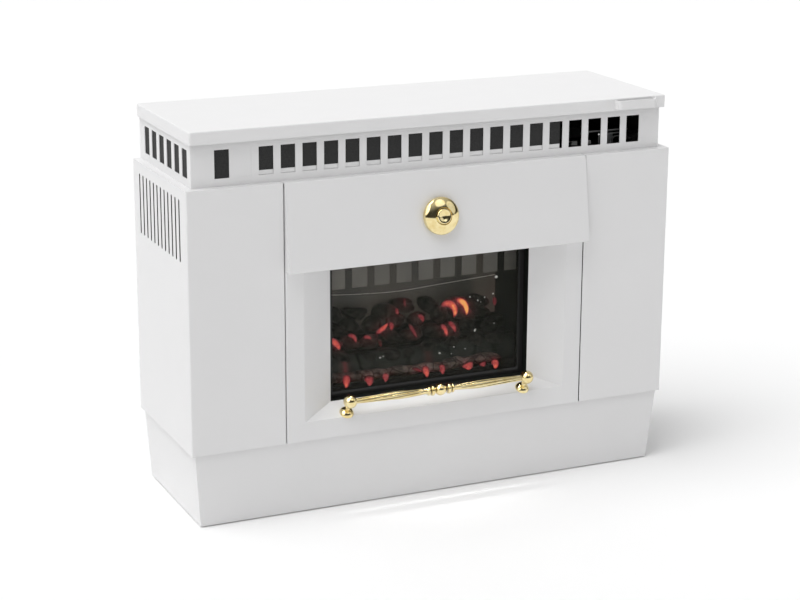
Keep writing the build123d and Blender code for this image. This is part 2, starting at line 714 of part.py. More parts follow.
# ================================== fan and heating element ======================================
DUCT_X0, DUCT_X1 = -335.0, 238.0
THROAT_FRONT, THROAT_BACK = 61.0, 101.0
FAN_X = (DUCT_X0 + DUCT_X1) / 2
FAN_D, FAN_Z = 120.0, 534.0
IMPELLER_R = 26.0
IMPELLER_L = 336.0
BLADES = 20
HOUSING_HALF = 176.0
SCROLL_R = 31.5
SHAFT_R = 3.0
BEARING_R = 6.0
fan_centre = (depth(FAN_D), FAN_Z)


def scroll_point(angle):
    """Point of the fan's scroll at an angle up from straight back."""
    return (fan_centre[0] + SCROLL_R * cos(radians(angle)), fan_centre[1] + SCROLL_R * sin(radians(angle)))


with BuildPart() as fan_housing:
    for x in (FAN_X - HOUSING_HALF, FAN_X + HOUSING_HALF - SHEET):
        with BuildSketch(seen_from_right(x)):
            with BuildLine():
                Polyline(
                    scroll_point(-100), (depth(THROAT_FRONT), FAN_Z - 10),
                    (depth(THROAT_FRONT), CASE_TOP - 0.5), (depth(THROAT_BACK), CASE_TOP - 0.5),
                    scroll_point(60),
                )
                ThreePointArc(scroll_point(60), scroll_point(-20), scroll_point(-100))
            make_face()
            with Locations(fan_centre):
                Circle(BEARING_R, mode=Mode.SUBTRACT)
        extrude(amount=SHEET)
    with BuildSketch(seen_from_right(FAN_X - HOUSING_HALF)):
        with BuildLine():
            Line((depth(THROAT_BACK), CASE_TOP - 0.6), scroll_point(60))
            ThreePointArc(scroll_point(60), scroll_point(-10), scroll_point(-80))
        trace(line_width=THIN)
    extrude(amount=2 * HOUSING_HALF)
    with BuildSketch(seen_from_right(FAN_X - HOUSING_HALF)):
        with BuildLine():
            Polyline(
                (depth(THROAT_FRONT + 0.6), CASE_TOP - 0.6), (depth(THROAT_FRONT + 0.6), 561.0),
                (depth(FAN_D - 26), FAN_Z + 21),
            )
        trace(line_width=THIN)
    extrude(amount=2 * HOUSING_HALF)
save(fan_housing.part, "fan_housing")

with BuildPart() as impeller:
    with BuildSketch(seen_from_right(FAN_X - IMPELLER_L / 2)):
        with Locations(fan_centre):
            with PolarLocations(IMPELLER_R - 4.5, BLADES):
                Rectangle(7.5, 1.0, rotation=35)
    extrude(amount=IMPELLER_L)
    for x in (FAN_X - IMPELLER_L / 2, FAN_X - 0.8, FAN_X + IMPELLER_L / 2 - 1.6):
        with BuildSketch(seen_from_right(x)):
            with Locations(fan_centre):
                Circle(IMPELLER_R)
                Circle(SHAFT_R, mode=Mode.SUBTRACT)
        extrude(amount=1.6)
save(impeller.part, "impeller")

MOTOR_X0 = FAN_X + HOUSING_HALF + 3
MOTOR_L = 34.0
RUNNING = 0.05
with BuildPart() as fan_motor:
    half = 23.0
    block(
        MOTOR_X0, MOTOR_X0 + MOTOR_L, fan_centre[0] - half, fan_centre[0] + half, FAN_Z - half, FAN_Z + half
    )
    fillet(fan_motor.edges().filter_by(Axis.X), 6)
    for x in (FAN_X + HOUSING_HALF, MOTOR_X0 + MOTOR_L):
        with BuildSketch(seen_from_right(x)):
            with Locations(fan_centre):
                Circle(11)
        extrude(amount=3)
    with BuildSketch(seen_from_right(FAN_X + HOUSING_HALF)):
        with Locations(fan_centre):
            Circle(SHAFT_R + RUNNING)
    extrude(amount=MOTOR_L + 10, mode=Mode.SUBTRACT)
save(fan_motor.part, "fan_motor")

with BuildPart() as fan_bearing:
    with BuildSketch(seen_from_right(FAN_X - HOUSING_HALF - 5)):
        with Locations(fan_centre):
            Circle(BEARING_R)
            Circle(SHAFT_R + RUNNING, mode=Mode.SUBTRACT)
    extrude(amount=9)
save(fan_bearing.part, "fan_bearing")

with BuildPart() as fan_shaft:
    with BuildSketch(seen_from_right(FAN_X - HOUSING_HALF - 7)):
        with Locations(fan_centre):
            Circle(SHAFT_R)
    extrude(amount=2 * HOUSING_HALF + MOTOR_L + 16)
save(fan_shaft.part, "fan_shaft")

WIRE_R = 2.0
WIRE_PITCH = 9.6
WIRE_FRONT = 66.0
ELEMENT_Z = 573.0
ELEMENT_HALF = 158.0
with BuildPart() as heating_element:
    rows = [depth(WIRE_FRONT + i * WIRE_PITCH) for i in range(4)]
    left, right = FAN_X - ELEMENT_HALF - 7, FAN_X + ELEMENT_HALF + 7
    far_right = FAN_X + HOUSING_HALF - SHEET - 2
    with BuildLine():
        FilletPolyline(
            (far_right, rows[0], ELEMENT_Z), (left, rows[0], ELEMENT_Z), (left, rows[1], ELEMENT_Z),
            (right, rows[1], ELEMENT_Z), (right, rows[2], ELEMENT_Z), (left, rows[2], ELEMENT_Z),
            (left, rows[3], ELEMENT_Z), (far_right, rows[3], ELEMENT_Z), radius=WIRE_PITCH / 2 - 0.1,
        )
    with BuildSketch(Plane(origin=(far_right, rows[0], ELEMENT_Z), x_dir=(0, 1, 0), z_dir=(-1, 0, 0))):
        Circle(WIRE_R)
    sweep()
save(heating_element.part, "heating_element")

with BuildPart() as element_insulators:
    for x in (FAN_X - ELEMENT_HALF, FAN_X, FAN_X + ELEMENT_HALF):
        block(x - 2.5, x + 2.5, depth(62.5), depth(99), ELEMENT_Z - 6, ELEMENT_Z + 6)
        for y in rows:
            with Locations(Location((x, y, ELEMENT_Z), (0, 90, 0))):
                Cylinder(WIRE_R, 10, mode=Mode.SUBTRACT)
save(element_insulators.part, "element_insulators")

with BuildPart() as thermal_cutout:
    with BuildSketch(lies_facing_front(depth(THROAT_FRONT))):
        with Locations((FAN_X + 60, 572)):
            Circle(8)
    extrude(amount=9)
    with BuildSketch(lies_facing_front(depth(THROAT_FRONT))):
        with Locations((FAN_X + 60, 572)):
            RectangleRounded(26, 10, 3)
    extrude(amount=1.2)
save(thermal_cutout.part, "thermal_cutout")

DUCT_TOP = BAND_TOP - 4
DUCT_LIP = 606.0
DUCT_FRONT = BAND_INSET_FRONT + SHEET + 0.5
with BuildPart() as warm_air_duct:
    block(DUCT_X0, DUCT_X1, depth(DUCT_FRONT), depth(THROAT_BACK + THIN), CASE_TOP, DUCT_TOP)
    block(
        DUCT_X0 + THIN, DUCT_X1 - THIN, depth(DUCT_FRONT + THIN), depth(THROAT_BACK), CASE_TOP + THIN,
        DUCT_TOP + 1, Mode.SUBTRACT,
    )
    block(
        DUCT_X0 + THIN, DUCT_X1 - THIN, depth(DUCT_FRONT) - 1, depth(DUCT_FRONT + THIN) + 1, DUCT_LIP,
        DUCT_TOP + 1, Mode.SUBTRACT,
    )
    block(
        FAN_X - HOUSING_HALF + SHEET, FAN_X + HOUSING_HALF - SHEET, depth(THROAT_FRONT + THIN),
        depth(THROAT_BACK - THIN), CASE_TOP - 1, CASE_TOP + 3, Mode.SUBTRACT,
    )
save(warm_air_duct.part, "warm_air_duct")

# ================================== controls under the lid =======================================
PLATE_X0, PLATE_X1 = 262.0, 430.0
PLATE_Z = CASE_TOP + SHEET
KNOB_X, THERMOSTAT_D = 366.0, 78.0
SWITCHES = (("heat_switch_low", 296.0), ("heat_switch_high", 324.0))
SWITCH_D = 78.0
ROCKER_W, ROCKER_L = 10.4, 20.0
ROCKER_TILT = 10.0
ROCKER_PIN_R = 1.2
switch_y = depth(SWITCH_D)
rocker_z = PLATE_Z + 4.0

with BuildPart() as control_plate:
    block(PLATE_X0, PLATE_X1, depth(DUCT_FRONT), depth(140), CASE_TOP, PLATE_Z)
    with Locations((KNOB_X, depth(THERMOSTAT_D), PLATE_Z)):
        Cylinder(5.0, 10, mode=Mode.SUBTRACT)
    for name, x in SWITCHES:
        block(x - 7.5, x + 7.5, switch_y - 13.5, switch_y + 13.5, CASE_TOP - 1, PLATE_Z + 1, Mode.SUBTRACT)
save(control_plate.part, "control_plate")

with BuildPart() as switch_housings:
    for name, x in SWITCHES:
        block(x - 7.5, x + 7.5, switch_y - 13.5, switch_y + 13.5, PLATE_Z - 18, PLATE_Z + 2)
        block(x - 9, x + 9, switch_y - 15, switch_y + 15, PLATE_Z, PLATE_Z + 2)
        block(x - 7.5, x + 7.5, switch_y - 6, switch_y + 6, PLATE_Z, PLATE_Z + 6.5)
        block(x - 5.6, x + 5.6, switch_y - 11.4, switch_y + 11.4, PLATE_Z - 8, PLATE_Z + 7, Mode.SUBTRACT)
        with Locations(Location((x, switch_y, rocker_z), (0, 90, 0))):
            Cylinder(ROCKER_PIN_R + RUNNING, 13.4, mode=Mode.SUBTRACT)
save(switch_housings.part, "switch_housings")

for name, x in SWITCHES:
    with BuildPart() as rocker:
        tilt = radians(ROCKER_TILT)
        turned = Plane(origin=(x, switch_y, rocker_z), x_dir=(0, cos(tilt), -sin(tilt)), z_dir=(1, 0, 0))
        with BuildSketch(turned):
            with BuildLine():
                Polyline(
                    (-ROCKER_L / 2, -3.2), (ROCKER_L / 2, -3.2), (ROCKER_L / 2, 3.6), (0, 2.0),
                    (-ROCKER_L / 2, 3.6), close=True,
                )
            make_face()
        extrude(amount=ROCKER_W / 2, both=True)
        with Locations(Location((x, switch_y, rocker_z), (0, 90, 0))):
            Cylinder(ROCKER_PIN_R, 13.0)
    save(rocker.part, name)

THERMOSTAT_H = 26.0
STEM_R = 3.0
with BuildPart() as thermostat:
    with Locations((KNOB_X, depth(THERMOSTAT_D), CASE_TOP)):
        Box(38, 38, THERMOSTAT_H, align=(Align.CENTER, Align.CENTER, Align.MAX))
        Cylinder(5.0, SHEET, align=(Align.CENTER, Align.CENTER, Align.MIN))
        Cylinder(STEM_R + RUNNING, 2 * 16, mode=Mode.SUBTRACT)
save(thermostat.part, "thermostat")

THERMO_KNOB_R = 11.0
with BuildPart() as thermostat_knob:
    with BuildSketch(Plane.XY.offset(PLATE_Z + 0.6)):
        with Locations((KNOB_X, depth(THERMOSTAT_D))):
            Circle(THERMO_KNOB_R)
            with PolarLocations(THERMO_KNOB_R + 0.7, 18):
                Circle(1.3, mode=Mode.SUBTRACT)
    extrude(amount=19)
    chamfer(thermostat_knob.faces().sort_by(Axis.Z)[-1].edges(), 0.5)
    with Locations((KNOB_X, depth(THERMOSTAT_D) - 3.5, PLATE_Z + 19.4)):
        Box(2.0, 11, 1.6)
    with Locations((KNOB_X, depth(THERMOSTAT_D), PLATE_Z + 1)):
        Cylinder(STEM_R, 16, align=(Align.CENTER, Align.CENTER, Align.MAX))
save(thermostat_knob.part, "thermostat_knob")

TERMINAL_X = 410.0
with BuildPart() as terminal_block:
    block(TERMINAL_X - 11, TERMINAL_X + 11, depth(40), depth(112), PLATE_Z, PLATE_Z + 20)
    fillet(terminal_block.edges().filter_by(Axis.Y).group_by(Axis.Z)[-1], 2)
    with Locations((TERMINAL_X, depth(76), PLATE_Z + 20)):
        with GridLocations(12, 11.5, 2, 6):
            Cylinder(2.2, 14, mode=Mode.SUBTRACT)
save(terminal_block.part, "terminal_block")

LEAD_R = 1.3
LEAD_BEND = 7.0
lead_ends = [SWITCHES[0][1], SWITCHES[1][1], KNOB_X - 12]
with BuildPart() as control_leads:
    for i, end_x in enumerate(lead_ends):
        start = (TERMINAL_X - 11, depth(46 + 7 * i), PLATE_Z + 12)
        turn_y = depth(27 + 5 * i)
        over = PLATE_Z + (34 - 7 * i)
        with BuildLine():
            FilletPolyline(
                start, (TERMINAL_X - 26, start[1], start[2]), (TERMINAL_X - 44, turn_y, over),
                (end_x, turn_y, over), (end_x, turn_y, PLATE_Z), radius=LEAD_BEND,
            )
        with BuildSketch(Plane(origin=start, x_dir=(0, 1, 0), z_dir=(-1, 0, 0))):
            Circle(LEAD_R)
        sweep()
save(control_leads.part, "control_leads")

# ================================== lid, its pull and its hinges =================================
LID_INSET = 9.0  # sides of the lid inside the casing's sides
LID_FRONT_D = 4.7
LID_BOTTOM = BAND_TOP + 0.3
lid_half = HALF_W - LID_INSET
lid_front = depth(LID_FRONT_D)


def lid_outline(wall):
    """Draws the lid's outline on the current sketch, shrunk by wall."""
    with Locations((0, (lid_front + BACK) / 2)):
        RectangleRounded(2 * (lid_half - wall), BACK - lid_front - 2 * wall, 4 - wall)


with BuildPart() as lid:
    with BuildSketch(Plane.XY.offset(LID_BOTTOM)):
        lid_outline(0)
    extrude(amount=LID_TOP - LID_BOTTOM)
    fillet(lid.faces().sort_by(Axis.Z)[-1].edges(), 2.5)
    with BuildSketch(Plane.XY.offset(LID_BOTTOM)):
        lid_outline(SHEET)
    extrude(amount=LID_TOP - LID_BOTTOM - SHEET, mode=Mode.SUBTRACT)
save(lid.part, "lid")

with BuildPart() as lid_liner:
    with BuildSketch(Plane.XY.offset(LID_BOTTOM + 1)):
        lid_outline(SHEET)
    extrude(amount=THIN)
save(lid_liner.part, "lid_liner")

PULL_X0, PULL_X1 = 339.0, 419.0
PULL_Z0, PULL_Z1 = 662.0, 677.0
PULL_T = 2.4
PULL_REACH = 12.0
with BuildPart() as lid_handle:
    with BuildSketch(Plane.XY.offset(PULL_Z0)):
        with BuildLine():
            x0, x1 = PULL_X0 + PULL_T / 2, PULL_X1 - PULL_T / 2
            out = lid_front - PULL_REACH + PULL_T / 2
            FilletPolyline((x0, lid_front), (x0, out), (x1, out), (x1, lid_front), radius=7)
        trace(line_width=PULL_T)
    extrude(amount=PULL_Z1 - PULL_Z0)
save(lid_handle.part, "lid_handle")

HINGE_X = 300.0
HINGE_W = 60.0
LEAF_T = 1.5
LEAF_H = 18.0
HINGE_PIN_R = 1.5
KNUCKLE_R = 3.1
PIVOT_Y = BACK + 3.5
PIVOT_Z = LID_BOTTOM - 0.15
KNUCKLE_GAP = 0.3


def hinge_leaf(middle_x, up, knuckles, bore):
    """A leaf of the hinge at middle_x, reaching up (1) or down (-1) from the pin, with knuckles along X."""
    with BuildPart() as leaf:
        z0, z1 = sorted((PIVOT_Z + up * 4, PIVOT_Z + up * LEAF_H))
        block(middle_x - HINGE_W / 2, middle_x + HINGE_W / 2, BACK, BACK + LEAF_T, z0, z1)
        for start, end in knuckles:
            with BuildSketch(seen_from_right(middle_x + start)):
                with Locations((PIVOT_Y, PIVOT_Z)):
                    Circle(KNUCKLE_R)
                with Locations((BACK + LEAF_T / 2, PIVOT_Z + up * 2.8)):
                    Rectangle(LEAF_T, 4)
                with Locations((PIVOT_Y, PIVOT_Z)):
                    Circle(bore, mode=Mode.SUBTRACT)
            extrude(amount=end - start)
    return leaf.part


third = HINGE_W / 6
case_knuckles = ((-3 * third, -third - KNUCKLE_GAP), (third + KNUCKLE_GAP, 3 * third))
lid_knuckle = ((-third, third),)

with BuildPart() as hinge_leaves_case:
    for x in (-HINGE_X, HINGE_X):
        add(hinge_leaf(x, -1, case_knuckles, HINGE_PIN_R))
save(hinge_leaves_case.part, "hinge_leaves_case")

with BuildPart() as hinge_leaves_lid:
    for x in (-HINGE_X, HINGE_X):
        add(hinge_leaf(x, 1, lid_knuckle, HINGE_PIN_R + RUNNING))
save(hinge_leaves_lid.part, "hinge_leaves_lid")

with BuildPart() as hinge_pins:
    for x in (-HINGE_X, HINGE_X):
        with Locations(Location((x, PIVOT_Y, PIVOT_Z), (0, 90, 0))):
            Cylinder(HINGE_PIN_R, HINGE_W)
save(hinge_pins.part, "hinge_pins")
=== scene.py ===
"""Looks of the free-standing electric fire: materials, coals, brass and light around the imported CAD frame.

Lengths are metres. A number of millimetres is multiplied by MM or goes through at().
"""

import json
from math import cos, exp, pi, radians, sin, sqrt, tau
from random import Random

import bmesh
import bpy
from mathutils import Euler, Matrix, Vector, noise
from mathutils.bvhtree import BVHTree


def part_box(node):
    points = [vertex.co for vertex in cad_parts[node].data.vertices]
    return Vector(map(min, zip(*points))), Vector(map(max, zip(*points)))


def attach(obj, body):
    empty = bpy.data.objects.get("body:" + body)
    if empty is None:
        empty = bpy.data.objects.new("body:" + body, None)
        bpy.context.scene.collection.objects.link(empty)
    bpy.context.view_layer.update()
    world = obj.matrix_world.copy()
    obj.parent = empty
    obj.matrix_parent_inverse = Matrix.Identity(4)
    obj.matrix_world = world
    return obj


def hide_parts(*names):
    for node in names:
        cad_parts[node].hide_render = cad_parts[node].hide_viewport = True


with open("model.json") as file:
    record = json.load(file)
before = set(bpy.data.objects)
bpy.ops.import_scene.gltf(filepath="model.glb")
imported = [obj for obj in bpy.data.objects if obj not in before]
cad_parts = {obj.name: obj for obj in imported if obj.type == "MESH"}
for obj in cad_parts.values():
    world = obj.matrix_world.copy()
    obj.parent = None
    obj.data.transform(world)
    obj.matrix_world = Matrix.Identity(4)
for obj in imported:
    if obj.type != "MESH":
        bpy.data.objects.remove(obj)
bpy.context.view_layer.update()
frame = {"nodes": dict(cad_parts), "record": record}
nodes = frame["nodes"]

# ---- where things are, from the frame -----------------------------------------------------------
MM = 0.001
case_low, case_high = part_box("side_panel_left")
glass_low, glass_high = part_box("fire_glass")
bar_low, bar_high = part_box("fender_bar")
tab_low, tab_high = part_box("canopy_tabs")
band_low, band_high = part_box("vent_band_front")
rear_low, rear_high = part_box("vent_band_rear")
duct_low, duct_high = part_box("warm_air_duct")
back_low, back_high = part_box("back_panel")
FRONT = case_low.y  # the casing's front face
SHEET = 1.5 * MM  # the band's sheet steel
SKIN = 1.2 * MM  # paint deeper than this in the casing or the band is the black inside, which is painted shade
CUT_EDGE = 0.2 * MM  # depth of white paint on the edges of the air slots; deeper, the edges are black painted shade
GLASS_BORDER = 10.0 * MM  # black enamel along the glass's edges


# ==================================== material helpers ===========================================
class Tree:
    """A material's node tree with short calls for the nodes used here."""

    def __init__(self, name):
        self.material = bpy.data.materials.new(name)
        self.material.use_nodes = True
        self.nodes = self.material.node_tree.nodes
        self.links = self.material.node_tree.links
        self.shader = self.nodes["Principled BSDF"]
        self.position = self.nodes.new("ShaderNodeTexCoord").outputs["Object"]

    def set(self, **values):
        """Sets sockets of the principled shader by their names, with _ for a space."""
        for key, value in values.items():
            self.shader.inputs[key.replace("_", " ")].default_value = value

    def link(self, source, target):
        """Links a socket to another, or to the shader's socket of that name."""
        if isinstance(target, str):
            target = self.shader.inputs[target]
        self.links.new(source, target)

    def noise(self, scale, detail=3.0, roughness=0.5, vector=None, distortion=0.0):
        """Cloudy noise with this many blotches a metre."""
        node = self.nodes.new("ShaderNodeTexNoise")
        node.inputs["Scale"].default_value = scale
        node.inputs["Detail"].default_value = detail
        node.inputs["Roughness"].default_value = roughness
        node.inputs["Distortion"].default_value = distortion
        self.links.new(vector or self.position, node.inputs["Vector"])
        return node.outputs["Fac"]

    def voronoi(self, scale, feature="F1", vector=None, output="Distance"):
        """Cells, this many a metre."""
        node = self.nodes.new("ShaderNodeTexVoronoi")
        node.feature = feature
        node.inputs["Scale"].default_value = scale
        self.links.new(vector or self.position, node.inputs["Vector"])
        return node.outputs[output]

    def attribute(self, name):
        """The value of a mesh attribute."""
        node = self.nodes.new("ShaderNodeAttribute")
        node.attribute_name = name
        return node.outputs["Fac"]

    def stretched(self, sx, sy, sz):
        """The position, scaled along each axis by its own number."""
        node = self.nodes.new("ShaderNodeMapping")
        node.inputs["Scale"].default_value = (sx, sy, sz)
        self.links.new(self.position, node.inputs["Vector"])
        return node.outputs["Vector"]

    def axis(self, letter):
        """The position along one axis."""
        node = self.nodes.new("ShaderNodeSeparateXYZ")
        self.links.new(self.position, node.inputs["Vector"])
        return node.outputs[letter]

    def range(self, source, low, high, to_low=0.0, to_high=1.0):
        """Maps low..high to to_low..to_high."""
        node = self.nodes.new("ShaderNodeMapRange")
        for key, value in zip(("From Min", "From Max", "To Min", "To Max"), (low, high, to_low, to_high)):
            node.inputs[key].default_value = value
        self.links.new(source, node.inputs["Value"])
        return node.outputs["Result"]

    def ramp(self, source, *stops):
        """Colours for the values between (place, colour) stops."""
        node = self.nodes.new("ShaderNodeValToRGB")
        elements = node.color_ramp.elements
        elements[0].position, elements[-1].position = stops[0][0], stops[-1][0]
        for place, _ in stops[1:-1]:
            elements.new(place)
        for element, (_, colour) in zip(elements, stops):
            element.color = (*colour, 1.0)
        self.links.new(source, node.inputs["Fac"])
        return node.outputs["Color"]

    def mix(self, share, one, two, blend="MIX"):
        """Mixes two colours, each a socket or an RGBA value."""
        node = self.nodes.new("ShaderNodeMix")
        node.data_type = "RGBA"
        node.blend_type = blend
        colours = [socket for socket in node.inputs if socket.type == "RGBA"]
        for socket, value in zip((node.inputs["Factor"], *colours), (share, one, two)):
            if isinstance(value, bpy.types.NodeSocket):
                self.links.new(value, socket)
            else:
                socket.default_value = value
        return [socket for socket in node.outputs if socket.type == "RGBA"][0]

    def math(self, operation, a, b):
        """A sum, product or comparison of two sockets or numbers."""
        node = self.nodes.new("ShaderNodeMath")
        node.operation = operation
        for socket, value in zip(node.inputs, (a, b)):
            if isinstance(value, (int, float)):
                socket.default_value = value
            else:
                self.links.new(value, socket)
        return node.outputs["Value"]

    def bump(self, height, strength, distance):
        """Makes the surface rise and fall with the height."""
        node = self.nodes.new("ShaderNodeBump")
        node.inputs["Strength"].default_value = strength
        node.inputs["Distance"].default_value = distance
        self.links.new(height, node.inputs["Height"])
        self.links.new(node.outputs["Normal"], self.shader.inputs["Normal"])


def coated(name, light, dark, rough, bump):
    """A sprayed or moulded surface: cloudy colour, uneven gloss and a fine orange-peel bump."""
    tree = Tree(name)
    tree.link(tree.ramp(tree.noise(7.0, 4.0), (0.35, dark), (0.65, light)), "Base Color")
    tree.link(tree.range(tree.noise(26.0, 5.0), 0.3, 0.7, rough - 0.06, rough + 0.06), "Roughness")
    tree.bump(tree.noise(900.0, 2.0), bump, 0.4 * MM)
    return tree.material


def brushed(name, light, dark, rough):
    """Rolled or brushed metal with streaks along X."""
    tree = Tree(name)
    tree.set(Metallic=1.0)
    streak = tree.noise(22.0, 4.0, vector=tree.stretched(1, 40, 40))
    tree.link(tree.ramp(streak, (0.3, dark), (0.7, light)), "Base Color")
    tree.link(tree.range(streak, 0.3, 0.7, rough - 0.07, rough + 0.1), "Roughness")
    tree.bump(streak, 0.12, 0.2 * MM)
    return tree.material


WHITE_LIGHT, WHITE_DARK = (0.755, 0.752, 0.755), (0.745, 0.743, 0.747)
# black of the glass's enamel border, and painted shade on the casing's insides and in the brass's grooves
BLACK_ENAMEL_AND_SHADE = (0.020, 0.020, 0.020, 1.0)


def enamel(name):
    """Satin stove enamel: near white, very faintly cloudy, with a light orange peel."""
    tree = Tree(name)
    tree.set(Coat_Weight=0.15, Coat_Roughness=0.2)
    tree.link(tree.ramp(tree.noise(5.0, 3.0), (0.3, WHITE_DARK), (0.7, WHITE_LIGHT)), "Base Color")
    tree.link(tree.range(tree.noise(18.0, 3.0), 0.3, 0.7, 0.36, 0.42), "Roughness")
    tree.bump(tree.noise(260.0, 1.0), 0.02, 0.3 * MM)
    return tree


def inside_boxes(tree, *boxes):
    """One where a point lies inside one of the boxes, each a (low, high), and nought elsewhere."""
    inside = None
    for low, high in boxes:
        within = None
        for letter, least, most in zip("XYZ", low, high):
            value = tree.axis(letter)
            above = tree.math("GREATER_THAN", value, least)
            below = tree.math("LESS_THAN", value, most)
            both = tree.math("MULTIPLY", above, below)
            within = both if within is None else tree.math("MULTIPLY", within, both)
        inside = within if inside is None else tree.math("MAXIMUM", inside, within)
    return inside


def paint_black_enamel_and_shade(tree, mask):
    """The material, with its colour turned black where the mask is one: black enamel on the glass's border,
    painted shade everywhere else.
    """
    paint = tree.shader.inputs["Base Color"].links[0].from_socket
    tree.link(tree.mix(mask, paint, BLACK_ENAMEL_AND_SHADE), "Base Color")
    return tree.material


def painted_shade_inside(tree, *boxes):
    """The material, black inside the boxes: painted shade on the insides that light hardly reaches."""
    return paint_black_enamel_and_shade(tree, inside_boxes(tree, *boxes))


def brass():
    """Polished lacquered brass with a little tarnish, darkened with painted shade where the groove attribute
    says so.
    """
    tree = Tree("brass")
    tree.set(Metallic=1.0, Coat_Weight=0.3, Coat_Roughness=0.05)
    tarnish = tree.noise(70.0, 5.0, 0.6)
    tree.link(tree.ramp(tarnish, (0.35, (0.78, 0.62, 0.28)), (0.60, (0.90, 0.77, 0.43))), "Base Color")
    paint_black_enamel_and_shade(tree, tree.attribute(GROOVE))
    tree.link(tree.range(tree.noise(160.0, 3.0), 0.3, 0.7, 0.05, 0.12), "Roughness")
    tree.bump(tree.noise(500.0, 2.0), 0.03, 0.2 * MM)
    return tree.material


def clear_glass():
    """Heat-resisting pane: nearly clear, with faint smears, and black enamel along its edges."""
    tree = Tree("clear_glass")
    tree.set(Roughness=0.04, IOR=1.5, Specular_IOR_Level=0.25)
    smear = tree.noise(9.0, 4.0)
    tree.link(tree.ramp(smear, (0.3, (0.026, 0.029, 0.021)), (0.7, (0.052, 0.053, 0.042))), "Base Color")
    clear = (
        (glass_low.x + GLASS_BORDER, glass_low.y - MM, glass_low.z + GLASS_BORDER),
        (glass_high.x - GLASS_BORDER, glass_high.y + MM, glass_high.z + MM),
    )
    within = inside_boxes(tree, clear)
    tree.link(tree.range(within, 0.0, 1.0, 1.0, 0.13), "Alpha")
    return paint_black_enamel_and_shade(tree, tree.math("SUBTRACT", 1.0, within))


def gauze():
    """Black woven wire, dark grey from a little way off, with a fine weave."""
    tree = Tree("gauze")
    tree.set(Roughness=0.7, Specular_IOR_Level=0.2)
    weave = tree.voronoi(900.0)
    tree.link(tree.ramp(weave, (0.1, (0.046, 0.046, 0.046)), (0.6, (0.026, 0.026, 0.026))), "Base Color")
    tree.bump(weave, 0.2, 0.2 * MM)
    return tree.material


def lamp_glass():
    """Red lacquered lamp glass, lit from inside."""
    tree = Tree("lamp_glass")
    tree.set(Transmission_Weight=0.4, Roughness=0.25, Emission_Strength=2.0)
    glow = tree.noise(40.0, 2.0)
    tree.link(tree.ramp(glow, (0.3, (0.55, 0.06, 0.02)), (0.7, (0.9, 0.16, 0.04))), "Base Color")
    tree.link(tree.ramp(glow, (0.3, (0.8, 0.08, 0.02)), (0.7, (1.0, 0.25, 0.06))), "Emission Color")
    return tree.material


def seal_rope():
    """Braided glass-fibre rope, black, with a fine weave."""
    tree = Tree("seal_rope")
    tree.set(Roughness=0.9)
    weave = tree.voronoi(700.0, vector=tree.stretched(1, 1, 0.6))
    tree.link(tree.ramp(weave, (0.1, (0.030, 0.032, 0.028)), (0.6, (0.006, 0.007, 0.006))), "Base Color")
    tree.bump(weave, 0.6, 0.6 * MM)
    return tree.material


def fire_black():
    """Matt heat-proof black with a fine sprayed tooth."""
    tree = Tree("fire_black")
    tree.set(Roughness=0.6, Specular_IOR_Level=0.2)
    cloud = tree.noise(40.0, 4.0)
    tree.link(tree.ramp(cloud, (0.3, (0.003, 0.004, 0.003)), (0.7, (0.007, 0.009, 0.007))), "Base Color")
    tree.bump(tree.noise(700.0, 2.0), 0.1, 0.3 * MM)
    return tree.material


def scorched_steel():
    """Heat-dulled plate, brown-grey and streaked, with painted firelight: an emission glow, stronger low
    down and at the left.
    """
    tree = Tree("scorched_steel")
    tree.set(Roughness=0.55)
    streak = tree.noise(20.0, 4.0, vector=tree.stretched(1.6, 1.0, 0.4))
    tree.link(tree.ramp(streak, (0.3, (0.12, 0.115, 0.10)), (0.7, (0.19, 0.18, 0.16))), "Base Color")
    # painted light: the fire's glow on the plate, brighter low down and at the left, painted in as emission
    height = tree.range(tree.axis("Z"), tab_low.z, tab_high.z)
    glow = tree.ramp(height, (0.0, (0.037, 0.035, 0.030)), (0.9, (0.018, 0.017, 0.0145)))
    tree.link(glow, "Emission Color")
    tree.link(tree.range(tree.axis("X"), -180 * MM, 200 * MM, 1.10, 0.20), "Emission Strength")
    tree.bump(streak, 0.1, 0.5 * MM)
    return tree.material


def smoked_screen():
    """Smoked semi-mirror behind the coals, with the soft brown light of the flame effect painted on it as
    emission.
    """
    tree = Tree("smoked_screen")
    tree.set(Roughness=0.4, Emission_Strength=1.0)
    smoke = tree.noise(5.0, 4.0, vector=tree.stretched(1, 1, 0.6))
    tree.link(tree.ramp(smoke, (0.3, (0.020, 0.020, 0.018)), (0.7, (0.05, 0.048, 0.042))), "Base Color")
    # painted light: the flame effect's glow is emission on the screen
    flame = tree.noise(7.0, 3.0, 0.55, tree.stretched(1.3, 1.0, 0.45), 0.8)
    glow = tree.ramp(
        flame, (0.35, (0.012, 0.011, 0.009)), (0.55, (0.034, 0.028, 0.023)), (0.75, (0.050, 0.034, 0.028))
    )
    tree.link(glow, "Emission Color")
    return tree.material


def galvanised(name):
    """Zinc-plated sheet with a faint spangle, each crystal its own grey."""
    tree = Tree(name)
    tree.set(Metallic=1.0)
    spangle = tree.voronoi(110.0, output="Color")
    tree.link(tree.ramp(spangle, (0.2, (0.55, 0.56, 0.57)), (0.8, (0.65, 0.66, 0.67))), "Base Color")
    tree.link(tree.range(tree.noise(35.0, 4.0), 0.3, 0.7, 0.32, 0.5), "Roughness")
    tree.bump(tree.noise(300.0), 0.05, 0.3 * MM)
    return tree


# colour of glowing fuel from cold to hottest
EMBER_COLOURS = (
    (0.0, (0.0, 0.0, 0.0)), (0.20, (0.030, 0.008, 0.008)), (0.42, (0.19, 0.024, 0.033)),
    (0.62, (0.39, 0.055, 0.056)), (0.80, (0.68, 0.10, 0.075)), (0.92, (0.92, 0.19, 0.085)),
    (1.0, (1.0, 0.45, 0.13)),
)
HEAT_AND_PAINTED_SPILL = "fuel_heat"  # attribute of the fuel's points: its glow, with painted light spilled from the seams added
GROOVE = "groove"  # attribute of the fender bar's points: how deep they lie in a flute or neck, which darkens them as painted shade
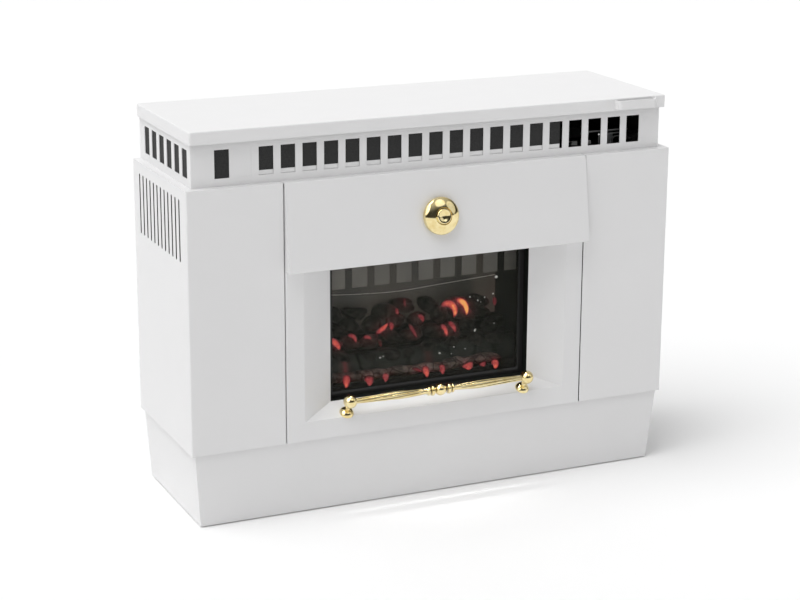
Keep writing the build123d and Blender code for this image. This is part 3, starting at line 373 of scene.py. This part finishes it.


def glowing(name, cold, ash, cracks, grain):
    """Moulded fuel: sooty body, ashy spots, dark cracks, and a glow from its heat attribute."""
    tree = Tree(name)
    tree.set(Roughness=0.85, Specular_IOR_Level=0.25, Emission_Strength=1.0)
    seams = tree.voronoi(cracks, "DISTANCE_TO_EDGE")
    dust = tree.noise(grain, 6.0, 0.7)
    body = tree.ramp(dust, (0.38, cold), (0.66, ash))
    shade = tree.range(seams, 0.0, 0.05, 0.25, 1.0)
    tree.link(tree.mix(1.0, body, shade, "MULTIPLY"), "Base Color")
    uneven = tree.math("MULTIPLY", tree.attribute(HEAT_AND_PAINTED_SPILL), tree.range(dust, 0.3, 0.7, 0.75, 1.15))
    tree.link(tree.ramp(uneven, *EMBER_COLOURS), "Emission Color")
    tree.bump(tree.math("ADD", tree.math("MULTIPLY", shade, 0.6), dust), 0.7, 1.2 * MM)
    return tree.material


# ---- the insides painted black as painted shade, although the sheet's outer face is white or zinc ---
band_inside = (
    (band_low.x + SKIN, band_low.y + SKIN, band_low.z - 2 * MM),
    (band_high.x - SKIN, rear_high.y - SKIN, band_high.z + 1 * MM),
)
case_inside = (
    (case_low.x + SKIN, case_low.y + SKIN, case_low.z - MM),
    (-case_low.x - SKIN, case_high.y - SKIN, case_high.z - 0.2 * MM),
)
slot_edges = (
    (case_low.x + CUT_EDGE, case_low.y + 20 * MM, case_low.z - MM),
    (-case_low.x - CUT_EDGE, case_high.y - 20 * MM, case_high.z - 20 * MM),
)
duct_inside = (
    (duct_low.x - MM, duct_low.y + 0.6 * MM, duct_low.z - MM),
    (duct_high.x + MM, duct_high.y + MM, duct_high.z + MM),
)
back_inside = (
    (back_low.x - MM, back_low.y - MM, back_low.z - MM),
    (back_high.x + MM, back_high.y - CUT_EDGE, back_high.z + MM),
)

# the record's material slots: name, light colour, dark colour, roughness and, if coated, bump
MATERIALS = {
    "white_paint": enamel("white_paint").material,
    "galvanised": galvanised("galvanised").material,
    "screw_steel": brushed("screw_steel", (0.70, 0.70, 0.70), (0.42, 0.42, 0.43), 0.28),
    "black_paint": fire_black(),
    "brass": brass(),
    "fan_bearing_bronze": brushed("fan_bearing_bronze", (0.62, 0.40, 0.22), (0.42, 0.26, 0.13), 0.4),
    "rubber": coated("rubber", (0.030, 0.030, 0.030), (0.018, 0.018, 0.018), 0.75, 0.2),
    "seal_rope": seal_rope(),
    "clear_glass": clear_glass(),
    "lamp_glass": lamp_glass(),
    "spinner_foil": brushed("spinner_foil", (0.86, 0.87, 0.88), (0.68, 0.69, 0.70), 0.25),
    "scorched_steel": scorched_steel(),
    "flame_screen": smoked_screen(),
    "black_plastic": coated("black_plastic", (0.030, 0.030, 0.030), (0.020, 0.020, 0.020), 0.45, 0.12),
    "rocker_plastic": coated("rocker_plastic", (0.70, 0.70, 0.68), (0.64, 0.64, 0.62), 0.22, 0.02),
    "grey_plastic": coated("grey_plastic", (0.42, 0.43, 0.44), (0.36, 0.37, 0.38), 0.40, 0.10),
    "thermostat_body": coated("thermostat_body", (0.55, 0.52, 0.45), (0.48, 0.45, 0.38), 0.5, 0.1),
    "insulator": coated("insulator", (0.70, 0.66, 0.58), (0.58, 0.54, 0.46), 0.7, 0.25),
    "element_wire": brushed("element_wire", (0.34, 0.29, 0.27), (0.18, 0.16, 0.16), 0.45),
    "lead_sleeve": coated("lead_sleeve", (0.10, 0.10, 0.10), (0.07, 0.07, 0.07), 0.55, 0.06),
    "fuel_bed": glowing("fuel_bed", (0.010, 0.010, 0.008), (0.035, 0.031, 0.026), 60.0, 90.0),
    "coal": glowing("coal", (0.008, 0.008, 0.007), (0.060, 0.054, 0.047), 70.0, 120.0),
}
# nodes that look different from their slot; all but the glass clips have painted shade on their insides
SPECIAL = {
    "glass_clips": MATERIALS["black_paint"],
    "warm_air_duct": painted_shade_inside(enamel("duct_paint"), duct_inside),
    "back_panel": painted_shade_inside(galvanised("back_zinc"), back_inside),
    **{
        node: painted_shade_inside(enamel(f"{node}_paint"), band_inside)
        for node in ("vent_band_front", "vent_band_left", "vent_band_right", "vent_band_rear")
    },
    **{
        node: painted_shade_inside(enamel(f"{node}_paint"), band_inside, case_inside, slot_edges)
        for node in ("side_panel_left", "side_panel_right")
    },
}
EDGE_ROUNDING = {"white_paint": 0.5 * MM, "black_plastic": 0.4 * MM, "thermostat_body": 0.5 * MM}


def paint_cad():
    """Gives every CAD node its material, and painted and moulded ones slightly rounded edges."""
    for entry in frame["record"]["subparts"]:
        name = entry["node"]
        slot = entry["material_slot"]
        material = SPECIAL.get(name, MATERIALS[slot])
        mesh = nodes[name].data
        if not mesh.materials:
            mesh.materials.append(material)
        for index in range(len(mesh.materials)):
            mesh.materials[index] = material
        if slot in EDGE_ROUNDING:
            bevel = nodes[name].modifiers.new("edges", "BEVEL")
            bevel.width = EDGE_ROUNDING[slot]
            bevel.segments = 2
            bevel.limit_method = "ANGLE"
            bevel.angle_limit = radians(40)
            bevel.use_clamp_overlap = True


paint_cad()


# ==================================== pieces =====================================================
def at(x, behind, z):
    """A point in metres from millimetres: X, distance behind the casing's front, and height."""
    return Vector((x * MM, FRONT + behind * MM, z * MM))


def finish_piece(bm, name, material, smooth=True):
    """Turns a bmesh into a piece of the case."""
    bmesh.ops.recalc_face_normals(bm, faces=bm.faces)
    mesh = bpy.data.meshes.new(name)
    bm.to_mesh(mesh)
    bm.free()
    for polygon in mesh.polygons:
        polygon.use_smooth = smooth
    mesh.materials.append(material)
    piece = bpy.data.objects.new(name, mesh)
    bpy.context.scene.collection.objects.link(piece)
    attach(piece, "case")
    return piece


def ring_skin(bm, rings):
    """Joins rings of vertices into a closed skin, with a fan of faces over each end."""
    for one, two in zip(rings, rings[1:]):
        for i in range(len(one)):
            j = (i + 1) % len(one)
            bm.faces.new((one[i], one[j], two[j], two[i]))
    bm.faces.new(list(reversed(rings[0])))
    bm.faces.new(rings[-1])


# ---- glowing seams ------------------------------------------------------------------------------
# where each starts (X, depth behind the front, height), its length, direction and bend in degrees,
# its width, and its heat
BACK_EMBERS = (
    (-146, 143, 260, 30, -10, -70, 13, 0.92), (-110, 143, 264, 25, 12, -110, 9, 0.66),
    (-79, 143, 256, 17, 25, -80, 8, 0.58), (-49, 157, 257, 29, 20, 25, 10, 0.90),
    (-18, 172, 269, 17, -20, -110, 11, 0.64), (-50, 139, 252, 15, -80, 0, 8, 0.34),
    (0, 182, 292, 13, -55, -30, 8, 0.60), (21, 190, 307, 17, -85, 0, 6, 0.40),
    (9, 143, 272, 31, -55, -12, 8, 0.50), (34, 162, 277, 19, 20, -130, 10, 0.58),
    (90, 177, 286, 48, 42, -170, 15, 1.02), (118, 178, 295, 43, 0, -110, 12, 1.40),
    (72, 143, 264, 27, -40, -45, 11, 0.84), (88, 143, 266, 25, -28, -60, 10, 0.66),
    (202, 186, 290, 17, -90, 0, 9, 0.44),
)
FRONT_EMBERS = (
    (-137, 84, 213, 24, -90, -8, 15, 0.86), (-95, 84, 206, 19, -85, 0, 18, 0.74),
    (-61, 84, 206, 16, -100, 0, 13, 0.68), (-11, 85, 207, 22, -10, -20, 8, 0.46),
    (13, 84, 210, 22, -70, -15, 13, 0.88), (47, 84, 208, 18, -85, 0, 13, 0.70),
    (96, 84, 206, 15, -60, -30, 22, 0.84), (127, 84, 204, 11, -70, 0, 14, 0.58),
    (153, 84, 204, 17, -85, -10, 15, 0.92),
)
EMBER_STEPS = 14
EMBER_SIDES = 12
EMBER_LEAN = 0.12  # how far a seam leans back as it rises
EMBER_THICKNESS = 0.55  # of its width
OUTWARD = Vector((-0.395, -0.877, 0.274))  # from the fire towards the camera: forwards, left and up
SETTLE_REACH = 0.12  # how far before and behind a seam the fuel is looked for
PROUD = 0.5 * MM  # how far a seam's middle line stands off the fuel


def ember_line(start_x, behind, start_z, length, direction, bend):
    """Middle line of a glowing seam, which turns steadily by its bend."""
    points = [at(start_x, behind, start_z)]
    for step in range(EMBER_STEPS):
        heading = radians(direction + bend * (step + 0.5) / EMBER_STEPS)
        stride = length * MM / EMBER_STEPS
        ahead = Vector((cos(heading), EMBER_LEAN * sin(heading), sin(heading)))
        points.append(points[-1] + ahead * stride)
    return points


def surface_of(*pieces):
    """A search tree of the pieces' faces."""
    corners, faces = [], []
    for piece in pieces:
        start = len(corners)
        corners += [vert.co.copy() for vert in piece.data.vertices]
        faces += [[start + index for index in polygon.vertices] for polygon in piece.data.polygons]
    return BVHTree.FromPolygons(corners, faces)


def settle(line, surface):
    """Lays a seam's middle line on the fuel, moving it only along the camera's line of sight."""
    rises = []
    for point in line:
        hit = surface.ray_cast(point + OUTWARD * SETTLE_REACH, -OUTWARD, 2 * SETTLE_REACH)[0]
        rises.append((hit - point).dot(OUTWARD) if hit else 0.0)
    raised = [max(rises[max(i - 1, 0):i + 2]) for i in range(len(line))]
    for i, point in enumerate(line):
        near = raised[max(i - 2, 0):i + 3]
        point += OUTWARD * (sum(near) / len(near) + PROUD)
    return line


def add_ember(bm, layer, line, width, heat):
    """One horn-shaped seam, hottest along its middle and on the side that faces the camera."""
    rings = []
    for step, point in enumerate(line):
        part = (step + 0.35) / (EMBER_STEPS + 0.7)
        ahead = (line[min(step + 1, EMBER_STEPS)] - line[max(step - 1, 0)]).normalized()
        across = ahead.cross(OUTWARD).normalized()
        front = across.cross(ahead).normalized()
        front = front if front.dot(OUTWARD) > 0 else -front
        swell = sin(pi * part ** 0.75) ** 0.7 * width * MM / 2
        ring = []
        for side in range(EMBER_SIDES):
            turn = tau * side / EMBER_SIDES
            offset = across * cos(turn) * swell + front * sin(turn) * swell * EMBER_THICKNESS
            vert = bm.verts.new(point + offset)
            lit = max(0.0, sin(turn)) ** 0.9
            vert[layer] = heat * lit * min(1.0, 1.3 * sin(pi * part) ** 0.5) * (0.72 + 0.38 * part)
            ring.append(vert)
        rings.append(ring)
    ring_skin(bm, rings)


def make_embers(fuel):
    """The glowing seams of the back heap and of the front row, and the painted light they throw on the fuel.
    """
    surface = surface_of(*fuel)
    glow_points = []
    for name, embers in (("embers_back", BACK_EMBERS), ("embers_front", FRONT_EMBERS)):
        bm = bmesh.new()
        layer = bm.verts.layers.float.new(HEAT_AND_PAINTED_SPILL)
        for *route, width, heat in embers:
            line = settle(ember_line(*route), surface)
            add_ember(bm, layer, line, width, heat)
            glow_points += [(point, heat) for point in line[2:EMBER_STEPS:4]]
        finish_piece(bm, name, MATERIALS["coal"])
    for piece in fuel:
        add_painted_spill(piece, glow_points)


# ---- lumps of fuel ------------------------------------------------------------------------------
FACETS = 13
EDGE_SHARPNESS = 14
GLOW_REACH = 13.0 * MM
PAINTED_SPILL_SHARE = 0.38  # share of a seam's heat that is painted as spilled light on the fuel beside it


def painted_spill(place, glow_points):
    """Painted light that a point of the fuel takes from the glowing seams near it."""
    spilled_light = 0.0
    for point, heat in glow_points:
        gap = (place - point).length / GLOW_REACH
        if gap < 2.5:
            spilled_light = max(spilled_light, PAINTED_SPILL_SHARE * heat * exp(-gap * gap))
    return spilled_light


def add_painted_spill(piece, glow_points):
    """Adds the painted spilled light to a piece's own heat."""
    mesh = piece.data
    heat = mesh.attributes.get(HEAT_AND_PAINTED_SPILL) or mesh.attributes.new(HEAT_AND_PAINTED_SPILL, "FLOAT", "POINT")
    for vert, value in zip(mesh.vertices, heat.data):
        value.value = max(value.value, painted_spill(vert.co, glow_points))


def add_lump(bm, rng, middle, size, turn, detail=3):
    """A broken lump: a ball cut by soft-edged planes, roughened, stretched to size and turned."""
    planes = []
    while len(planes) < FACETS:
        normal = Vector([rng.uniform(-1, 1) for _ in range(3)])
        if 0.1 < normal.length < 1.0:
            planes.append((normal.normalized(), rng.uniform(0.70, 0.98)))
    seed = Vector([rng.uniform(0, 50) for _ in range(3)])
    spin = Euler([radians(angle) for angle in turn]).to_matrix()
    for vert in bmesh.ops.create_icosphere(bm, subdivisions=detail, radius=1.0)["verts"]:
        ray = vert.co.normalized()
        pull = sum((max(0.0, ray.dot(normal)) / far) ** EDGE_SHARPNESS for normal, far in planes)
        radius = min(1.1, 1.0 / max(pull, 0.1) ** (1 / EDGE_SHARPNESS))
        radius *= 1.0 + 0.07 * noise.noise(ray * 3.0 + seed) + 0.03 * noise.noise(ray * 9.0 + seed)
        shape = Vector([ray[i] * radius * size[i] * MM / 2 for i in range(3)])
        vert.co = middle + spin @ shape


HEAP_ROWS = ((126, 227, 9), (156, 248, 10), (184, 268, 9), (192, 288, 8))  # depth, height, lumps
HEAP_HALF = 196.0
TOP_DIP = 6  # how much lower the heap's top row lies at the right


def make_heap():
    """The heap of coals behind, row above row."""
    rng = Random(7)
    bm = bmesh.new()
    for row, (behind, height, count) in enumerate(HEAP_ROWS):
        pitch = 2 * HEAP_HALF / count
        for column in range(count):
            x = -HEAP_HALF + pitch * (column + 0.5) + rng.uniform(-4, 4)
            dip = TOP_DIP if row == 3 and column > 5 else 0
            middle = at(x, behind + rng.uniform(-3, 3), height + rng.uniform(-4, 4) - dip)
            size = (pitch * rng.uniform(0.95, 1.25), rng.uniform(28, 36), rng.uniform(22, 32))
            turn = (rng.uniform(-20, 20), rng.uniform(-25, 25), rng.uniform(-40, 40))
            add_lump(bm, rng, middle, size, turn)
    heap = finish_piece(bm, "coal_heap", MATERIALS["coal"])
    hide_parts("coals")
    return heap


SLABS = 7
SLABS_START, SLABS_END = -212.0, 158.0


def make_slabs():
    """The front row: flat overlapping slabs of fuel, the last of them shorter."""
    rng = Random(21)
    bm = bmesh.new()
    pitch = (SLABS_END - SLABS_START) / SLABS
    for index in range(SLABS):
        x = SLABS_START + pitch * (index + 0.5)
        last = index == SLABS - 1
        size = (pitch * (1.45 if last else 1.6), 26, rng.uniform(17, 21))
        turn = (rng.uniform(-8, 8), rng.uniform(-5, 5), rng.uniform(-7, 7))
        add_lump(bm, rng, at(x, 97 + rng.uniform(-2, 2), 204 + rng.uniform(-1.5, 1.5)), size, turn, 4)
    slab_material = glowing("ridge_fuel", (0.050, 0.042, 0.036), (0.20, 0.165, 0.145), 34.0, 55.0)
    return finish_piece(bm, "fuel_slabs", slab_material)


BANK_PROFILE = (  # depth, height
    (106.0, 196.0), (108.0, 208.0), (111.0, 221.0), (118.0, 232.0), (126.0, 236.0),
)
BANK_STREAKS = ((-128, 0.34), (33, 0.26))  # X, heat
BANK_HALF = 212.0
BANK_THICKNESS = 2.0
BANK_STEPS = 120


def bank_point(x, behind, height, back):
    """A point of the bank's front, or of its back when back is the thickness."""
    ripple = 1.3 * noise.noise(Vector((x * 0.03, height * 0.16, 3.0)))
    ripple += 0.35 * noise.noise(Vector((x * 0.012, height * 0.9, 9.0)))
    return at(x, behind + ripple + back, height - back)


def bank_heat(x, height):
    """Faint reddish glowing streaks up the bank."""
    streak = max(exp(-((x - middle) / 7.0) ** 2) * heat for middle, heat in BANK_STREAKS)
    return streak * (0.9 + 0.2 * noise.noise(Vector((0.0, height * 0.2, 1.0))))


def make_ember_bank():
    """The smooth grey-green bank that slopes up from the front slabs to the heap."""
    bm = bmesh.new()
    layer = bm.verts.layers.float.new(HEAT_AND_PAINTED_SPILL)
    sheets = []
    for back in (0.0, BANK_THICKNESS):
        sheet = []
        for step in range(BANK_STEPS + 1):
            x = -BANK_HALF + 2 * BANK_HALF * step / BANK_STEPS
            column = []
            for behind, height in BANK_PROFILE:
                vert = bm.verts.new(bank_point(x, behind, height, back))
                vert[layer] = bank_heat(x, height)
                column.append(vert)
            sheet.append(column)
        sheets.append(sheet)
    front, rear = sheets
    last = len(BANK_PROFILE) - 1
    for step in range(BANK_STEPS):
        for level in range(last):
            for one, two in ((sheet[step], sheet[step + 1]) for sheet in sheets):
                bm.faces.new((one[level], two[level], two[level + 1], one[level + 1]))
        here, there = (front[step], rear[step]), (front[step + 1], rear[step + 1])
        for level in (0, last):
            bm.faces.new((here[0][level], there[0][level], there[1][level], here[1][level]))
    for step in (0, BANK_STEPS):
        one, two = front[step], rear[step]
        for level in range(last):
            bm.faces.new((one[level], one[level + 1], two[level + 1], two[level]))
    bank_material = glowing("bank_fuel", (0.026, 0.029, 0.025), (0.050, 0.055, 0.048), 12.0, 30.0)
    return finish_piece(bm, "ember_bank", bank_material)


WIRE_POINTS = (  # X, depth, height
    (-213, 82, 369), (-166, 82, 361), (-100, 82, 356), (-36, 82, 354),
    (41, 82, 358), (100, 82, 361), (153, 82, 364),
)
WIRE_RADIUS = 0.42 * MM
WIRE_STEPS = 10  # between two points
WIRE_SIDES = 8


def make_wire():
    """The thin bright wire that sags across the opening, a smooth curve through its points."""
    route = [at(*point) for point in WIRE_POINTS]
    turns = [tau * side / WIRE_SIDES for side in range(WIRE_SIDES)]
    bm = bmesh.new()
    rings = []
    for index in range(len(route) - 1):
        before = route[max(index - 1, 0)]
        one, two = route[index], route[index + 1]
        after = route[min(index + 2, len(route) - 1)]
        for step in range(WIRE_STEPS):
            t = step / WIRE_STEPS
            middle = 0.5 * (
                2 * one + (two - before) * t + (2 * before - 5 * one + 4 * two - after) * t * t
                + (3 * one - before - 3 * two + after) * t ** 3
            )
            offsets = [Vector((0, cos(turn), sin(turn))) * WIRE_RADIUS for turn in turns]
            rings.append([bm.verts.new(middle + offset) for offset in offsets])
    ring_skin(bm, rings)
    steel = Tree("wire_with_painted_glow")
    steel.set(Metallic=1.0, Emission_Strength=1.0)
    grain = steel.noise(200.0, 3.0)
    steel.link(steel.ramp(grain, (0.3, (0.55, 0.53, 0.48)), (0.7, (0.80, 0.78, 0.72))), "Base Color")
    # painted light: a faint emission makes the wire look bright
    steel.link(steel.ramp(grain, (0.3, (0.05, 0.045, 0.04)), (0.7, (0.10, 0.095, 0.085))), "Emission Color")
    steel.link(steel.range(grain, 0.3, 0.7, 0.25, 0.4), "Roughness")
    finish_piece(bm, "guard_wire", steel.material)


FLAKES = (  # X, depth, height, size
    (134, 127, 250, 5.0), (193, 119, 228, 3.2), (152, 82, 359, 6.0), (-64, 104, 229, 3.6),
    (55, 110, 221, 3.4), (85, 113, 228, 2.8), (107, 112, 222, 2.8), (78, 109, 217, 2.8),
    (176, 134, 256, 3.2), (-58, 104, 231, 2.4), (157, 164, 294, 3.4), (188, 164, 303, 3.0),
    (141, 164, 302, 3.0), (171, 164, 298, 2.8), (163, 164, 290, 2.4),
)


def make_flakes():
    """Bright mica flakes on the fuel, their glints painted in as emission, and the nut on the wire's end."""
    rng = Random(5)
    bm = bmesh.new()
    for x, behind, height, size in FLAKES:
        turn = [rng.uniform(-50, 50) for _ in range(3)]
        add_lump(bm, rng, at(x, behind, height), (size, size * 0.5, size * rng.uniform(0.7, 1.3)), turn, 2)
    mica = Tree("mica")
    mica.set(Roughness=0.2, Emission_Strength=1.0)
    painted_glint = mica.noise(420.0, 2.0)
    mica.link(mica.ramp(painted_glint, (0.3, (0.35, 0.34, 0.32)), (0.7, (0.85, 0.84, 0.82))), "Base Color")
    # painted glints: emission on the flakes
    mica.link(mica.ramp(painted_glint, (0.4, (0.03, 0.03, 0.03)), (0.6, (0.55, 0.55, 0.52))), "Emission Color")
    finish_piece(bm, "mica_flakes_painted_glints", mica.material, smooth=False)


# ---- fender bar: turned, with long twisted flutes -----------------------------------------------
FLUTES = 7
FLUTE_TWIST = radians(75)
FLUTE_DEPTH = 0.36  # of the radius
BAR_SIDES = 72
BAR_STEPS = 70  # along each fluted half
KNOP_RADIUS = 10.8
KNOP_STEPS = 12
COLLAR = (  # distance from the middle and radius of the turned rings beside the knop
    (11.2, 3.6), (12.8, 3.6), (13.1, 8.8), (13.8, 9.3), (15.5, 9.4), (17.2, 9.3), (17.9, 8.8), (18.2, 4.4),
    (20.9, 4.4), (21.2, 7.9), (21.9, 8.4), (23.3, 8.4), (24.3, 7.9), (25.2, 5.4), (29.0, 5.0), (33.0, 5.2),
)
NECK_START, NECK_END, NECK_RADIUS = 11.0, 22.0, 5.0  # the necks between the rings, darkened as painted shade
NECK_DARKNESS = 0.8
GROOVE_DARKNESS = 2.2


def fluted_radius(part):
    """Radius of the bar from its collar, 0, to its end, 1: it swells, then tapers."""
    swell = 5.4 + 2.4 * sin(pi * min(part / 0.44, 1.0) / 2) ** 1.4
    if part > 0.22:
        swell -= 3.2 * ((part - 0.22) / 0.78) ** 1.1 * min(1.0, (part - 0.22) / 0.2)
    return max(swell, 4.45)


def bar_outline(end):
    """(distance from the middle, radius, flute depth) along half of the bar, in millimetres."""
    outline = []
    for step in range(KNOP_STEPS + 1):
        along = KNOP_RADIUS * sin(radians(67) * step / KNOP_STEPS)
        outline.append((along, sqrt(KNOP_RADIUS * KNOP_RADIUS - along * along), 0.0))
    outline += [(along, radius, 0.0) for along, radius in COLLAR]
    start = COLLAR[-1][0]
    for step in range(1, BAR_STEPS + 1):
        part = step / BAR_STEPS
        depth = FLUTE_DEPTH * min(1.0, part / 0.10) * min(1.0, (1 - part) / 0.06)
        outline.append((start + (end - start) * part, fluted_radius(part), depth))
    return outline


def make_fender_bar():
    """The brass bar, in place of the CAD's plain one."""
    middle = (bar_low + bar_high) / 2
    end = (bar_high.x - bar_low.x) / 2 / MM
    half = bar_outline(end)
    stations = [(-along, radius, depth) for along, radius, depth in reversed(half[1:])] + half
    bm = bmesh.new()
    layer = bm.verts.layers.float.new(GROOVE)
    rings = []
    for along, radius, depth in stations:
        neck = NECK_DARKNESS if NECK_START < abs(along) < NECK_END and radius < NECK_RADIUS else 0.0
        ring = []
        for side in range(BAR_SIDES):
            turn = tau * side / BAR_SIDES
            wave = abs(sin(FLUTES / 2 * (turn + FLUTE_TWIST * along / end)))
            sunk = depth * (1.0 - wave) ** 2.0
            reach = radius * (1.0 - sunk) * MM
            vert = bm.verts.new(middle + Vector((along * MM, cos(turn) * reach, sin(turn) * reach)))
            # painted shade: the necks and the hollows of the flutes are darkened
            vert[layer] = max(neck, GROOVE_DARKNESS * sunk)
            ring.append(vert)
        rings.append(ring)
    ring_skin(bm, rings)
    bar = finish_piece(bm, "fluted_bar", MATERIALS["brass"])
    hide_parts("fender_bar")


# ---- sheet pieces -------------------------------------------------------------------------------
GAUZE_T = 0.3 * MM
GAUZE_GAP = 0.1 * MM
DUCT_LIP = 21.2 * MM  # above the band's foot, the top of the duct's white lip with some clearance


def make_gauze():
    """Woven wire guards behind the windows of both sides and of the front as far as the controls; they are
    also a dark sheet that stands in as painted shade for the unlit inside.
    """
    bm = bmesh.new()
    low_z, high_z = band_low.z + 3 * MM, band_high.z - 5 * MM
    front = band_low.y + SHEET + GAUZE_GAP
    left = band_low.x + SHEET + GAUZE_GAP
    lip = band_low.z + DUCT_LIP
    spans = [
        ((left + MM, front, low_z), (duct_low.x, front + GAUZE_T, high_z)),
        ((duct_low.x, front, lip), (duct_high.x, front + GAUZE_T, high_z)),
    ]
    for one, two in ((left, left + GAUZE_T), (-left - GAUZE_T, -left)):
        spans.append(((one, front + 2 * MM, low_z), (two, rear_low.y - 2 * MM, high_z)))
    # painted shade: these dark sheets make the inside seen through the windows look dark
    for low, high in spans:
        verts = bmesh.ops.create_cube(bm, size=1.0)["verts"]
        for vert in verts:
            vert.co = Vector([low[i] + (vert.co[i] + 0.5) * (high[i] - low[i]) for i in range(3)])
    finish_piece(bm, "window_gauze", gauze(), smooth=False)


STRIP_GAP = 0.3 * MM
STRIP_T = 1.0 * MM
STRIP_BELOW, STRIP_ABOVE = 12 * MM, 8 * MM  # how far it reaches past the joint
STRIP_INSET = 4 * MM  # at each end


def make_draught_strip():
    """Black strip inside the back, over the joint between the back panel and the rear band."""
    bm = bmesh.new()
    back = back_low.y - STRIP_GAP
    front = back - STRIP_T
    profile = (
        (back, back_high.z - STRIP_BELOW), (front, back_high.z - STRIP_BELOW + MM),
        (front, rear_low.z + STRIP_ABOVE - MM), (back, rear_low.z + STRIP_ABOVE),
    )
    rings = []
    for x in (band_low.x + STRIP_INSET, band_high.x - STRIP_INSET):
        rings.append([bm.verts.new((x, y, z)) for y, z in profile])
    ring_skin(bm, rings)
    finish_piece(bm, "draught_strip", MATERIALS["black_paint"], smooth=False)


make_embers((make_heap(), make_slabs(), make_ember_bank()))
make_gauze()
make_draught_strip()
make_wire()
make_flakes()
make_fender_bar()


# ==================================== camera, floor and light ====================================
AZIMUTH = radians(-24.25)
ELEVATION = radians(15.90)
ROLL = radians(0.256)
DISTANCE = 3.6716
TARGET = Vector((-0.0051, FRONT + 0.150, 0.3162))
LENS = 92.5
FLOOR_HALF = 60.0


def make_camera():
    """The camera, looking at the target from its azimuth and elevation."""
    data = bpy.data.cameras.new("camera")
    data.sensor_width = 36.0
    data.lens = LENS
    camera = bpy.data.objects.new("camera", data)
    bpy.context.scene.collection.objects.link(camera)
    back = Vector((sin(AZIMUTH) * cos(ELEVATION), -cos(AZIMUTH) * cos(ELEVATION), sin(ELEVATION)))
    camera.location = TARGET + back * DISTANCE
    roll = Matrix.Rotation(ROLL, 3, "Z").to_quaternion()
    camera.rotation_euler = (back.to_track_quat("Z", "Y") @ roll).to_euler()
    bpy.context.scene.camera = camera


def make_floor():
    """A wide plain pale floor."""
    mesh = bpy.data.meshes.new("floor")
    corners = [(x * FLOOR_HALF, y * FLOOR_HALF, 0) for x, y in ((-1, -1), (1, -1), (1, 1), (-1, 1))]
    mesh.from_pydata(corners, [], [(0, 1, 2, 3)])
    floor = bpy.data.objects.new("floor", mesh)
    bpy.context.scene.collection.objects.link(floor)
    tree = Tree("floor")
    pale = tree.ramp(tree.noise(2.0, 3.0), (0.3, (0.905, 0.905, 0.905)), (0.7, (0.915, 0.915, 0.915)))
    tree.link(pale, "Base Color")
    tree.set(Roughness=0.9)
    mesh.materials.append(tree.material)


def sun(name, direction, strength, angle):
    """A soft sun that shines from a direction."""
    data = bpy.data.lights.new(name, "SUN")
    data.energy = strength
    data.angle = radians(angle)
    light = bpy.data.objects.new(name, data)
    light.rotation_euler = Vector(direction).to_track_quat("Z", "Y").to_euler()
    bpy.context.scene.collection.objects.link(light)


def sill_light():
    """Soft light from under the hood that falls on the sill of the surround."""
    data = bpy.data.lights.new("sill", "AREA")
    data.shape = "RECTANGLE"
    data.size, data.size_y = 0.30, 0.01
    data.energy = 0.065
    data.spread = radians(60)
    light = bpy.data.objects.new("sill", data)
    light.location = at(0, 24, 424)
    bpy.context.scene.collection.objects.link(light)


SOFTBOXES = (  # direction, spread as a cosine, brightness in reflections
    ((-0.78, -0.35, 0.55), 0.90, 1.9), ((0.25, -0.62, 0.74), 0.965, 0.9), ((0.80, -0.45, 0.35), 0.96, 0.7),
)
EVEN_LIGHT = 0.50


def make_world():
    """Even light for the paint, and for reflections a dim room with a few soft boxes in it."""
    world = bpy.data.worlds.new("studio")
    world.use_nodes = True
    tree = world.node_tree
    new, link = tree.nodes.new, tree.links.new
    background = tree.nodes["Background"]
    background.inputs["Color"].default_value = (1.0, 1.0, 1.0, 1.0)
    toward = new("ShaderNodeTexCoord").outputs["Generated"]
    parts = new("ShaderNodeSeparateXYZ")
    link(toward, parts.inputs["Vector"])

    def math(operation, a, b):
        """A sum or product of two sockets or numbers."""
        node = new("ShaderNodeMath")
        node.operation = operation
        for socket, value in zip(node.inputs, (a, b)):
            if isinstance(value, (int, float)):
                socket.default_value = value
            else:
                link(value, socket)
        return node.outputs["Value"]

    def step(value, low, high, to_low, to_high):
        """A smooth step from to_low to to_high."""
        node = new("ShaderNodeMapRange")
        node.interpolation_type = "SMOOTHSTEP"
        for key, number in zip(("From Min", "From Max", "To Min", "To Max"), (low, high, to_low, to_high)):
            node.inputs[key].default_value = number
        link(value, node.inputs["Value"])
        return node.outputs["Result"]

    room = step(parts.outputs["Z"], 0.30, 0.85, 0.05, 0.55)  # dim below, brighter above
    room = math("ADD", room, step(parts.outputs["Y"], 0.0, 0.3, 0.0, 0.95))  # bright backdrop
    for direction, spread, brightness in SOFTBOXES:
        dot = new("ShaderNodeVectorMath")
        dot.operation = "DOT_PRODUCT"
        link(toward, dot.inputs[0])
        dot.inputs[1].default_value = Vector(direction).normalized()
        room = math("ADD", room, step(dot.outputs["Value"], spread - 0.03, spread, 0.0, brightness))
    path = new("ShaderNodeLightPath")
    extra = math("MULTIPLY", path.outputs["Is Glossy Ray"], math("SUBTRACT", room, EVEN_LIGHT))
    link(math("ADD", extra, EVEN_LIGHT), background.inputs["Strength"])
    bpy.context.scene.world = world
    bpy.context.scene.view_settings.view_transform = "Standard"


make_camera()
make_floor()
make_world()
sun("key", (-0.285, -0.055, 0.60), 2.10, 50)
sill_light()
